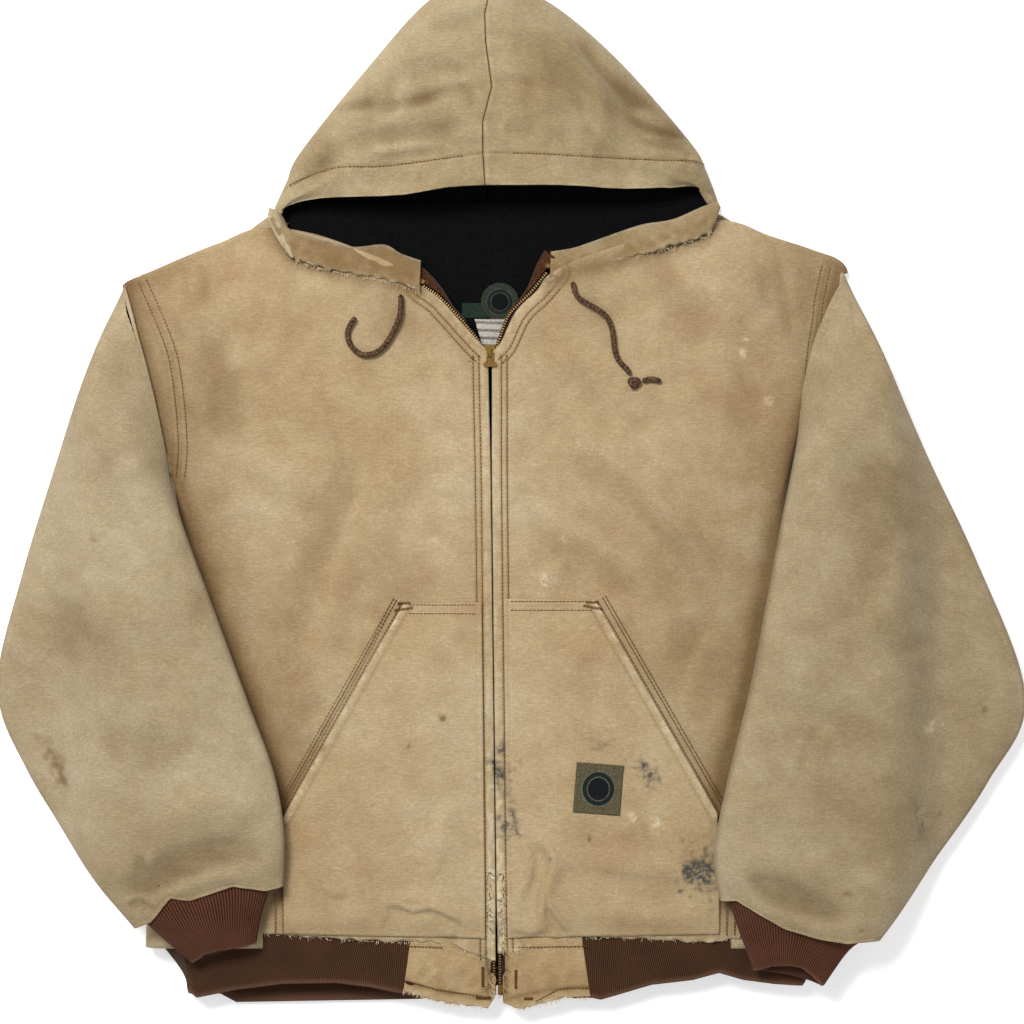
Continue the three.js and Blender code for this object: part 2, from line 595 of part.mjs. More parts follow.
// Pull: a flared tab whose cross bar passes under the bridge and whose eye is round its lower leg
const pullOutline = new THREE.Shape();
pullOutline.moveTo(-2.9, 0.7);
pullOutline.lineTo(-2.9, -5.4);
pullOutline.quadraticCurveTo(-2.9, -8.2, -6, -9.6);
pullOutline.quadraticCurveTo(-6.6, -11.6, -3.6, -12.4);
pullOutline.lineTo(3.6, -12.4);
pullOutline.quadraticCurveTo(6.6, -11.6, 6, -9.6);
pullOutline.quadraticCurveTo(2.9, -8.2, 2.9, -5.4);
pullOutline.lineTo(2.9, 0.7);
const eye = new THREE.Path();
eye.moveTo(-1.3, -0.7);
eye.lineTo(1.3, -0.7);
eye.lineTo(1.3, -4.8);
eye.lineTo(-1.3, -4.8);
eye.closePath();
pullOutline.holes.push(eye);
const pull = new THREE.ExtrudeGeometry(pullOutline, {
  depth: pullThickness,
  bevelEnabled: false,
  curveSegments: 4,
});
pull.translate(0, 0, -pullThickness / 2);
const pullMesh = add("zipper_pull", pull, brass, [zipX(sliderY), sliderY, pullLevel]);
pullMesh.rotation.z = -slope;

// Patch on the left pocket, and the labels inside the neck
const patchGeometry = new THREE.BoxGeometry(...patchSize, labelThickness);
const pocketFaceHeight = bodyDepth + clear + pocketRise + duck;
const patchLevel = pocketFaceHeight + 0.3 + labelThickness / 2;
add("pocket_patch", patchGeometry, wovenPatch, [...patchPlace, patchLevel]).rotation.z = degToRad(patchTurn);
const liningFaceInside = liningInset + quilt;
const neckTape = new THREE.BoxGeometry(26, 9, 0.8);
add("neck_tape", neckTape, greenTape, [...tapePlace, liningFaceInside + 0.7]);
const emblem = new THREE.CylinderGeometry(labelRadius, labelRadius, labelThickness, 28).rotateX(PI / 2);
add("neck_label", emblem, wovenEmblem, [...emblemPlace, liningFaceInside + 1.4 + labelThickness]);
const foldedTag = new THREE.BoxGeometry(28, 22, 5);
add("care_label", foldedTag, whiteTag, [...foldedTagPlace, liningFaceInside + 3]);

// Puts the origin in the middle of the underside.
const whole = new THREE.Box3().setFromObject(group, true);
const centre = whole.getCenter(new THREE.Vector3());
group.position.set(-centre.x, -centre.y, -whole.min.z);

export default group;
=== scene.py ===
# %% [markdown]
# # A hooded work jacket in washed cotton duck
#
# The jacket lies on its back with the zip closed and the hood spread above the shoulders. Its shell is
# faded cotton duck, its waist and cuffs are rib knit, and it is lined in black. Cloth is a thin sheet that
# keeps its seams and takes soft folds, so nearly every piece here is a grid of points: two numbers say
# where a point is on the cloth, and numpy works out all the points at once.
#
# The CAD model is loaded first. It fixes the size and the place of every part, so the looks are only ever
# built around it.

import bpy
import numpy as np
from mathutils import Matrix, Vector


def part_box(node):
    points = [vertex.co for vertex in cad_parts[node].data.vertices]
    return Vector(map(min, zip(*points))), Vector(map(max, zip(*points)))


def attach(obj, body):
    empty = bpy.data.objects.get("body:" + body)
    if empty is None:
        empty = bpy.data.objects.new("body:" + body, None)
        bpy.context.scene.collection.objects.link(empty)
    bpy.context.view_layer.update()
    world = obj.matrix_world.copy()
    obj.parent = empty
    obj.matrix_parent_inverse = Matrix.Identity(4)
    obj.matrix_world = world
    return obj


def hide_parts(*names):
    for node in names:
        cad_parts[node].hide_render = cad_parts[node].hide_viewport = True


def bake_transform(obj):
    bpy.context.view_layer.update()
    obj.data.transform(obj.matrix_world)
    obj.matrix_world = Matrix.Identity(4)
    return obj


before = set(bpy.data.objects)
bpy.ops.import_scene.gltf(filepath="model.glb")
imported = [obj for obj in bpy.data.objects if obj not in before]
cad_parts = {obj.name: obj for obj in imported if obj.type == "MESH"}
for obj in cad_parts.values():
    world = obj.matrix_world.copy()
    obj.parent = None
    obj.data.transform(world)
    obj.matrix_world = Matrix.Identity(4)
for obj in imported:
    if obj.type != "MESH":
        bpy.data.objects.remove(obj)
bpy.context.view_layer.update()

# %% [markdown]
# ## Millimetres from the foot of the zip
#
# A pattern cutter measures from a fixed point on the garment. Here it is the foot of the zip, with X to
# the wearer's left and Y up to the hood. The CAD model has its origin in the middle of the underside, so
# one shift, read from a label whose place is known in both, turns one into the other.

# %% Places
LABEL_PLACE = (89.6, 182.0)
label_low, label_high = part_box("pocket_patch")
SHIFT = np.array([(label_low.x + label_high.x) * 500 - LABEL_PLACE[0],
                  (label_low.y + label_high.y) * 500 - LABEL_PLACE[1], 0.0])


def to_frame(points):
    """Millimetres from the foot of the zip become metres in the CAD frame: add the shift, then /1000."""
    return (np.asarray(points, float) + SHIFT) / 1000


print("shift in millimetres", SHIFT.round(2))

# %% [markdown]
# ## Camera, floor and light
#
# The jacket is seen from straight above, from far enough away that its sides hardly show. A large soft
# lamp stands up and to the left, so that each fold has a gentle bright side and dark side. A weak lamp
# across from it and an even sky fill the shadows as white walls do in a studio.

# %% Camera, floor and light
BODY_DEPTH = 30.0
VIEW_MIDDLE = (15.5, 419.7)
VIEW_WIDTH = 880.6
LENS, SENSOR = 100.0, 36.0
scene = bpy.context.scene
camera = bpy.data.objects.new("camera", bpy.data.cameras.new("camera"))
camera.data.lens, camera.data.sensor_width = LENS, SENSOR
camera.data.clip_end = 50
middle = to_frame([*VIEW_MIDDLE, BODY_DEPTH])
camera.location = (middle[0], middle[1], middle[2] + VIEW_WIDTH / 1000 * LENS / SENSOR)
scene.collection.objects.link(camera)
scene.camera = camera


def area_light(name, place, size, power, colour=(1, 1, 1)):
    """A square lamp of a size in metres that points at the middle of the jacket."""
    lamp = bpy.data.lights.new(name, "AREA")
    lamp.size, lamp.energy, lamp.color = size, power, colour
    thing = bpy.data.objects.new(name, lamp)
    thing.location = place
    aim = -thing.location
    thing.rotation_euler = aim.to_track_quat("-Z", "Y").to_euler()
    scene.collection.objects.link(thing)
    return thing


area_light("key_lamp", (-0.95, 1.35, 2.7), 1.0, 99)
area_light("fill_lamp", (1.2, -1.4, 2.4), 2.2, 10)
world = bpy.data.worlds.new("studio")
scene.world = world
world.use_nodes = True
world.node_tree.nodes["Background"].inputs["Color"].default_value = (0.95, 0.97, 1.0, 1)
world.node_tree.nodes["Background"].inputs["Strength"].default_value = 0.43
scene.view_settings.view_transform = "Standard"

# %% [markdown]
# ## Curves, fills and folds
#
# Four small tools make all the cloth. A smooth curve through a few points is an edge. Four edges that meet
# are filled with a grid. Sums of long waves in all directions give the soft hills of cloth that was washed
# and laid down. The distance to a line gives a crease, a seam's valley or a worn edge.

# %% Tools for shapes
def curve_at(points, share):
    """Catmull-Rom curve: every span between two points takes an equal share from 0 to 1, and the slope at
    a point is half the step from the point before it to the point after it."""
    points = np.asarray(points, float)
    place = np.clip(np.asarray(share, float), 0, 1) * (len(points) - 1)
    span = np.minimum(place.astype(int), len(points) - 2)
    t = (place - span)[..., None]
    p0, p1, p2, p3 = (points[np.clip(span + k, 0, len(points) - 1)] for k in (-1, 0, 1, 2))
    v1, v2 = (p2 - p0) / 2, (p3 - p1) / 2
    return (2 * p1 - 2 * p2 + v1 + v2) * t**3 + (3 * p2 - 3 * p1 - 2 * v1 - v2) * t**2 + v1 * t + p1


def lengths(line):
    """Distance along a line of points to each of its points."""
    return np.concatenate([[0], np.cumsum(np.linalg.norm(np.diff(line, axis=0), axis=1))])


def even(points, count, curved=True):
    """count points spaced evenly by length along the curve, or the straight runs, through some points."""
    line = curve_at(points, np.linspace(0, 1, 40 * len(points))) if curved else np.asarray(points, float)
    along = lengths(line)
    places = np.linspace(0, along[-1], count)
    return np.stack([np.interp(places, along, axis) for axis in line.T], -1)


def fill(bottom, top, inner, outer):
    """Coons patch: what the left and right edges blend to, plus what the low and high edges blend to, less
    what the four corners blend to. Gives a grid of rows from bottom to top."""
    u = np.linspace(0, 1, len(bottom))[None, :, None]
    v = np.linspace(0, 1, len(inner))[:, None, None]
    across = inner[:, None] * (1 - u) + outer[:, None] * u
    up = bottom[None] * (1 - v) + top[None] * v
    corners = (bottom[0] * (1 - u) + bottom[-1] * u) * (1 - v) + (top[0] * (1 - u) + top[-1] * u) * v
    return across + up - corners


def mix(a, b, share):
    """a where share is 0, b where it is 1."""
    return a * (1 - share) + b * share


def ease(x, low, high):
    """0 below low, 1 above high, and a smooth S between: 3t² − 2t³."""
    t = np.clip((np.asarray(x, float) - low) / (high - low), 0, 1)
    return t * t * (3 - 2 * t)


def bell(x, width):
    """1 at 0, falling away on both sides: e to the power −(x / width)²."""
    return np.exp(-((x / width) ** 2))


def hills(x, y, size, seed, stretch=1.0):
    """Soft hills about size mm across: the mean of 16 sine waves with chance directions, lengths and
    phases. stretch above 1 makes them longer along Y."""
    chance = np.random.default_rng(seed)
    total = 0
    for angle, phase, length in zip(chance.uniform(0, 2 * np.pi, 16), chance.uniform(0, 2 * np.pi, 16),
                                    size * chance.uniform(1.2, 2.8, 16)):
        total = total + np.sin(2 * np.pi * (x * np.cos(angle) + y * np.sin(angle) / stretch) / length + phase)
    return total / 4


def patches(x, y, size, seed):
    """Soft patches from 0 to 1, about size mm across."""
    return 0.5 + 0.5 * np.clip(hills(x, y, size, seed), -1, 1)


def nearest(x, y, line):
    """Distance from each point to a line of straight runs, how far along the line the nearest spot is, and
    which side of it the point is on: positive to its left."""
    line = np.asarray(line, float)
    along = lengths(line)
    best, where, side = np.full(np.shape(x), 1e9), np.zeros(np.shape(x)), np.zeros(np.shape(x))
    for a, b, start in zip(line[:-1], line[1:], along[:-1]):
        run = b - a
        t = np.clip(((x - a[0]) * run[0] + (y - a[1]) * run[1]) / (run @ run), 0, 1)
        dx, dy = x - a[0] - t * run[0], y - a[1] - t * run[1]
        away = np.hypot(dx, dy)
        closer = away < best
        best = np.where(closer, away, best)
        where = np.where(closer, start + t * np.hypot(*run), where)
        side = np.where(closer, np.sign(run[0] * dy - run[1] * dx), side)
    return best, where, side


def away_from(x, y, line):
    """Distance from each point to a line."""
    return nearest(x, y, line)[0]


def creases(x, y, folds):
    """The sum of some folds: (points, width, height, kind). A ridge is a bell across the line, and a valley
    is one with a negative height. A lap is cloth lying over itself: high on the line's left, low on its
    right, s * e to the power (1 - s squared) / 2 with s the distance / width. All fade at both ends."""
    total = np.zeros(np.shape(x))
    for points, width, height, *kind in folds:
        line = even(points, 12)
        away, along, side = nearest(x, y, line)
        end = lengths(line)[-1]
        s = away * side / width
        shape = s * np.exp((1 - s * s) / 2) if kind else bell(s, 1.0)
        total = total + height * shape * ease(along, 0, 0.28 * end) * ease(end - along, 0, 0.28 * end)
    return total


def limited(height, deepest):
    """A fold's height with its valleys held above a depth, so that no cloth sinks through the next layer."""
    return np.where(height < 0, deepest * np.tanh(height / deepest), height)


def wrinkles(seed, count, size, height, low, high):
    """Chance short laps and ridges between two corners, as washing leaves: each has a place, a direction
    and a bend."""
    chance = np.random.default_rng(seed)
    folds = []
    for _ in range(count):
        middle = chance.uniform(np.minimum(low, high), np.maximum(low, high))
        turn, long = chance.uniform(0, np.pi), size * chance.uniform(0.6, 1.6)
        reach = np.array([np.cos(turn), np.sin(turn)]) * long / 2
        bend = np.array([-reach[1], reach[0]]) * chance.uniform(-0.35, 0.35)
        folds.append(([middle - reach, middle + bend, middle + reach], size * chance.uniform(0.07, 0.2),
                      height * chance.uniform(-1, 1), *(["lap"] if chance.random() < 0.5 else [])))
    return folds


def pucker(away, along, width, step, seed):
    """The small waves that a shrunken seam draws in the cloth beside it: a sine along the seam whose step
    wanders, fading away from it."""
    wander = hills(along, along * 0.3 + away * 0.15, 30, seed)
    return np.sin(2 * np.pi * along / step + 1.6 * wander) * bell(away, width)


# %% [markdown]
# ## From grids to meshes
#
# A grid of points becomes quads between neighbours. Which way the faces look matters for the wall that
# Solidify adds, so each sheet says which way its cloth faces and is turned round if it has to be. Marks
# are numbers stored at the points, such as how worn or how soiled the cloth is there. The materials read
# them.

# %% Tools for meshes
def grid_mesh(name, grid, wrap=False, marks=None, uv=None, facing=None):
    """A mesh of quads between the neighbours of a grid of points (rows, columns, 3), in millimetres. wrap
    joins the last column to the first. facing is a direction that the faces should look along on the
    whole, or "out" for away from the middle."""
    rows, columns = grid.shape[:2]
    number = np.arange(rows * columns).reshape(rows, columns)
    if wrap:
        number = np.concatenate([number, number[:, :1]], axis=1)
    quads = np.stack([number[:-1, :-1], number[:-1, 1:], number[1:, 1:], number[1:, :-1]], -1).reshape(-1, 4)
    points = to_frame(grid.reshape(-1, 3))
    corner = points[quads]
    normals = np.cross(corner[:, 2] - corner[:, 0], corner[:, 3] - corner[:, 1])
    outwards = isinstance(facing, str)
    towards = corner.mean(1) - points.mean(0) if outwards else np.asarray(facing or (0, 0, 1.0))
    if (normals * towards).sum() < 0:
        quads = quads[:, ::-1]
    mesh = bpy.data.meshes.new(name)
    mesh.from_pydata(points.tolist(), [], quads.tolist())
    mesh.polygons.foreach_set("use_smooth", np.ones(len(quads), bool))
    for mark, values in (marks or {}).items():
        layer = mesh.attributes.new(mark, "FLOAT", "POINT")
        layer.data.foreach_set("value", np.broadcast_to(values, (rows, columns)).astype(np.float32).ravel())
    if uv is not None:
        flat = np.stack(np.broadcast_arrays(*uv), -1)
        if wrap:
            first = flat[:, :1].copy()
            first[..., 0] += flat[0, -1, 0] + flat[0, 1, 0] - 2 * flat[0, 0, 0]
            wide = np.concatenate([flat, first], axis=1)
            spots = np.arange(rows * (columns + 1)).reshape(rows, columns + 1)
            order = np.stack([spots[:-1, :-1], spots[:-1, 1:], spots[1:, 1:], spots[1:, :-1]], -1)
            flat_points = wide.reshape(-1, 2)
        else:
            order = np.stack([number[:-1, :-1], number[:-1, 1:], number[1:, 1:], number[1:, :-1]], -1)
            flat_points = flat.reshape(-1, 2)
        order = order.reshape(-1, 4)
        if (normals * towards).sum() < 0:
            order = order[:, ::-1]
        layer = mesh.uv_layers.new(name="cloth")
        layer.data.foreach_set("uv", flat_points[order.ravel()].astype(np.float32).ravel())
    mesh.update()
    return mesh


def piece(name, mesh, material, body=None, replaces=(), wall=0.0, offset=-1.0):
    """Puts a mesh in the scene with its material, gives it a wall of cloth if it needs one, hangs it on the
    CAD body it rides on, and hides the CAD nodes it stands for."""
    thing = bpy.data.objects.new(name, mesh)
    scene.collection.objects.link(thing)
    mesh.materials.append(material)
    if wall:
        cloth = thing.modifiers.new("cloth", "SOLIDIFY")
        cloth.thickness, cloth.offset = wall / 1000, offset
    if body:
        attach(thing, body)
    if replaces:
        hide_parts(*replaces)
    return thing


# %% [markdown]
# ## Materials
#
# A helper adds one node with its settings and its links. Every cloth has the same plan: a base colour
# that drifts over a hand's width where the sun and the wash took it, a fine heather of paler and browner
# threads, a weave that lifts the surface a little, three marks for worn, soiled and blackened spots, and a
# fourth of painted shade in folds, beside the sleeves and under the hood's rim.

# %% Tools for materials
def linear(text):
    """An sRGB hex colour as linear red, green, blue and alpha: ((c + 0.055) / 1.055) ^ 2.4 above 0.04."""
    c = np.array([int(text[i:i + 2], 16) / 255 for i in (1, 3, 5)])
    c = np.where(c <= 0.04045, c / 12.92, ((c + 0.055) / 1.055) ** 2.4)
    return (*c.tolist(), 1.0)


def add(tree, kind, settings=None, **links):
    """Adds a node. settings are its own properties, and links are its inputs: a socket to join or a value
    to set. An input's name is written with _ for a space, and in0, in1 and so on are inputs by number."""
    node = tree.nodes.new(kind)
    for key, value in (settings or {}).items():
        setattr(node, key, value)
    for key, value in links.items():
        by_number = key[:2] == "in" and key[2:].isdigit()
        socket = node.inputs[int(key[2:]) if by_number else key.replace("_", " ")]
        if isinstance(value, bpy.types.NodeSocket):
            tree.links.new(value, socket)
        else:
            socket.default_value = value
    return node


def new_material(name):
    """An empty material with its Principled shader."""
    material = bpy.data.materials.new(name)
    material.use_nodes = True
    tree = material.node_tree
    return material, tree, tree.nodes["Principled BSDF"]


def ramp(tree, factor, stops):
    """A colour ramp: stops are (place, hex colour)."""
    node = add(tree, "ShaderNodeValToRGB", Fac=factor)
    band = node.color_ramp
    while len(band.elements) < len(stops):
        band.elements.new(0.5)
    for element, (place, colour) in zip(band.elements, stops):
        element.position, element.color = place, linear(colour)
    return node.outputs["Color"]


def blended(tree, share, low, high, kind="MIX"):
    """Mixes two colours by a share."""
    node = add(tree, "ShaderNodeMix", {"data_type": "RGBA", "blend_type": kind})
    for index, value in ((0, share), (6, low), (7, high)):
        if isinstance(value, bpy.types.NodeSocket):
            tree.links.new(value, node.inputs[index])
        else:
            node.inputs[index].default_value = value
    return node.outputs[2]


def maths(tree, operation, a, b=0.0):
    """One sum, product or other operation on two numbers."""
    return add(tree, "ShaderNodeMath", {"operation": operation}, in0=a, in1=b).outputs[0]


def times(tree, a, b):
    """a * b."""
    return maths(tree, "MULTIPLY", a, b)


def plus(tree, a, b, share=1.0):
    """a + b * share."""
    return maths(tree, "ADD", a, b if share == 1.0 else times(tree, b, share))


def noise(tree, place, scale, detail, roughness=0.5):
    """A noise from 0 to 1."""
    return add(tree, "ShaderNodeTexNoise", Vector=place, Scale=scale, Detail=detail,
               Roughness=roughness).outputs["Fac"]


def mark(tree, name):
    """A mark that is stored at the points of the mesh."""
    return add(tree, "ShaderNodeAttribute", {"attribute_name": name}).outputs["Fac"]


def finish_cloth(tree, shader, colour, height, bump, roughness, specular, sheen=0.0):
    """Joins colour and bump (strength, metres) to the shader, and says how the cloth scatters light."""
    strength, metres = bump
    tree.links.new(colour, shader.inputs["Base Color"])
    lifted = add(tree, "ShaderNodeBump", Height=height, Strength=strength, Distance=metres).outputs[0]
    tree.links.new(lifted, shader.inputs["Normal"])
    shader.inputs["Roughness"].default_value = roughness
    shader.inputs["Specular IOR Level"].default_value = specular
    shader.inputs["Sheen Weight"].default_value = sheen


# %% [markdown]
# ### Washed cotton duck
#
# Duck is a heavy plain weave of cotton yarns about half a millimetre thick. It starts golden brown, and
# sun and washing take it to a pale sand that is never even. The yarns are too fine to show from two metres,
# so the weave is drawn three times as coarse, and the heather of short pale and dark bits of yarn is what
# the eye reads as canvas. Folds, hems and seam edges rub paler; grease and paint stay as dark blots.

# %% Washed duck
WEAVE_MM = 1.5


def washed_duck(name, deep, body_colour, pale, seed):
    """Duck in three tones, from the deepest to the palest."""
    material, tree, shader = new_material(name)
    place = add(tree, "ShaderNodeTexCoord").outputs["Object"]
    spot = add(tree, "ShaderNodeMapping", Vector=place, Location=(seed * 1.7, seed * 0.9, 0)).outputs[0]
    fade, blotch = noise(tree, spot, 7.0, 3.0, 0.55), noise(tree, spot, 32.0, 4.0, 0.6)
    heather, broken = noise(tree, spot, 480.0, 2.0, 0.7), noise(tree, spot, 210.0, 5.0, 0.75)
    long_yarn = add(tree, "ShaderNodeMapping", Vector=spot, Scale=(160, 900, 500)).outputs[0]
    slub = noise(tree, long_yarn, 1.0, 2.0, 0.6)
    drift = plus(tree, times(tree, fade, 0.62), blotch, 0.38)
    base = ramp(tree, drift, [(0.34, deep), (0.5, body_colour), (0.66, pale)])
    grain = plus(tree, times(tree, heather, 0.5), slub, 0.5)
    threads = ramp(tree, grain, [(0.32, "#8f8f8f"), (0.5, "#bcbcbc"), (0.68, "#ececec")])
    woven = blended(tree, 0.55, base, blended(tree, 1.0, base, threads, "MULTIPLY"))
    woven = blended(tree, 1.0, woven, (1.28, 1.28, 1.28, 1), "MULTIPLY")
    rubbed = times(tree, mark(tree, "worn"), ramp(tree, broken, [(0.38, "#000000"), (0.6, "#ffffff")]))
    smudge = times(tree, mark(tree, "blackened"), ramp(tree, broken, [(0.36, "#000000"), (0.54, "#ffffff")]))
    # Where the fourth mark is high the colour is multiplied towards grey-brown #b3a491: painted shade in the
    # folds' valleys, beside the sleeves and under the hood's rim, with a little chance tone.
    colour = blended(tree, mark(tree, "painted_shade_and_tone"), woven, blended(tree, 1.0, woven, linear("#b3a491"), "MULTIPLY"))
    for share, tone in ((mark(tree, "soiled"), "#6f5430"), (rubbed, "#cfc09d"), (smudge, "#45443f")):
        colour = blended(tree, share, colour, linear(tone))
    # A wave's bands are 2 pi / (20 * scale) apart.
    bands = 2 * np.pi / 20 / (WEAVE_MM / 1000)
    across, up = (add(tree, "ShaderNodeTexWave", {"bands_direction": axis}, Vector=place, Scale=bands,
                      Distortion=0.8, Detail=1.0).outputs["Fac"] for axis in "XY")
    height = plus(tree, times(tree, times(tree, across, up), 0.5), grain, 1.3)
    finish_cloth(tree, shader, colour, plus(tree, height, blotch, 2.6), (0.45, 0.0008), 0.93, 0.2, 0.12)
    shader.inputs["Sheen Roughness"].default_value = 0.5
    return material


chest_duck = washed_duck("washed cotton duck chest", "#a08560", "#ad9671", "#b8a482", 1)
sleeve_duck = washed_duck("washed cotton duck sleeve", "#968261", "#a39070", "#ae9d7f", 5)
hood_duck = washed_duck("washed cotton duck hood", "#98835f", "#a5926f", "#b0a07f", 9)
rolled_duck = washed_duck("rolled duck edge", "#7c633d", "#907855", "#a38e6b", 13)
tab_duck = washed_duck("washed cotton duck tab", "#9a8057", "#a98f67", "#b6a07b", 17)

# %% [markdown]
# ### Black lining, rust facing and zip tape
#
# The lining is a napped black cotton that swallows light, so it is nearly black with a slight sheen. The
# facing beside the zip was dyed rust brown and kept its colour indoors. Zip tape is a dark herringbone.

# %% Lining, facing and tape
def plain_cloth(name, dark, light, grain_per_metre, roughness, sheen):
    """Cloth with no wear: two tones mixed by fine noise and a little bump."""
    material, tree, shader = new_material(name)
    place = add(tree, "ShaderNodeTexCoord").outputs["Object"]
    grain = noise(tree, place, grain_per_metre, 3.0)
    colour = ramp(tree, grain, [(0.35, dark), (0.65, light)])
    finish_cloth(tree, shader, colour, grain, (0.3, 0.0005), roughness, 0.15, sheen)
    return material


black_lining = plain_cloth("napped black cotton lining", "#020202", "#08080a", 420, 1.0, 0.0)
rust_facing = plain_cloth("rust brown facing twill", "#2f190b", "#512e17", 500, 0.95, 0.1)
zip_tape = plain_cloth("dark herringbone zip tape", "#1f1214", "#38242a", 900, 0.9, 0.1)
thread_material = plain_cloth("rust brown sewing thread", "#4a2c12", "#6f4822", 900, 0.85, 0.0)
pale_yarn = plain_cloth("bleached cotton yarn end", "#b7a585", "#d8cbb0", 900, 0.95, 0.1)
cord_material = plain_cloth("brown braided cotton cord", "#23150d", "#6a4e38", 620, 0.9, 0.05)

# %% [markdown]
# ### Rib knit
#
# Rib knit is columns of stitches that stand proud, with hollows between them. The columns follow the
# piece's own map, where one unit across is one rib, so they fan out with the cuff as real ribs do.

# %% Rib knit
def rib_knit(name, shaded_hollow, ridge, seed):
    """Knit whose ribs run along the map's second number: height is half of 1 + cos(2 pi u), and the same wave
    paints shade into the hollows.
    """
    material, tree, shader = new_material(name)
    spots = add(tree, "ShaderNodeUVMap", {"uv_map": "cloth"}).outputs[0]
    split = add(tree, "ShaderNodeSeparateXYZ", Vector=spots)
    place = add(tree, "ShaderNodeTexCoord").outputs["Object"]
    turn = times(tree, split.outputs[0], 2 * np.pi)
    rib = times(tree, plus(tree, maths(tree, "COSINE", turn), 1.0), 0.5)
    loops = maths(tree, "ABSOLUTE", maths(tree, "SINE", times(tree, split.outputs[1], np.pi)))
    fade, grain = noise(tree, place, 28.0 + seed, 3.0), noise(tree, place, 700.0, 2.0)
    # The ribs' hollows are painted darker than their tops: painted shade, as the ribs are too fine to show by
    # their bump.
    tone = plus(tree, plus(tree, times(tree, rib, 0.55), fade, 0.35), grain, 0.3)
    colour = ramp(tree, tone, [(0.25, shaded_hollow), (0.85, ridge)])
    colour = blended(tree, mark(tree, "worn"), colour, linear("#8a6450"))
    height = plus(tree, plus(tree, rib, times(tree, loops, rib), 0.25), grain, 0.35)
    finish_cloth(tree, shader, colour, height, (0.8, 0.0008), 0.95, 0.15, 0.03)
    return material


waist_knit = rib_knit("dark brown waist rib knit", "#1f1208", "#563721", 0)
cuff_knit = rib_knit("red brown cuff rib knit", "#261108", "#623b27", 7)

# %% [markdown]
# ### Brass
#
# The zip is cast brass that has tarnished brown in the hollows and is rubbed bright where it is handled.

# %% Brass
def tarnished_brass(name, tarnish, bright):
    """Brass: a metal whose colour and roughness follow the same patches of tarnish."""
    material, tree, shader = new_material(name)
    place = add(tree, "ShaderNodeTexCoord").outputs["Object"]
    stains = noise(tree, place, 260.0, 4.0, 0.65)
    tree.links.new(ramp(tree, stains, [(0.35, tarnish), (0.62, bright)]), shader.inputs["Base Color"])
    tree.links.new(ramp(tree, stains, [(0.3, "#b0b0b0"), (0.7, "#6a6a6a")]), shader.inputs["Roughness"])
    shader.inputs["Metallic"].default_value = 1.0
    return material


brass = tarnished_brass("tarnished cast brass", "#5c4322", "#a98446")
tooth_brass = tarnished_brass("tarnished brass zip teeth", "#8a6a35", "#dcbc7c")

# %% [markdown]
# ## The pattern
#
# These are the edges of the cut pieces, in millimetres from the foot of the zip, for the wearer's right
# (on the left as it lies) and the wearer's left. They follow the CAD model's edges within a few
# millimetres: the neck, the sides, the tabs and the sleeves' ends were trimmed to how the cloth lies.

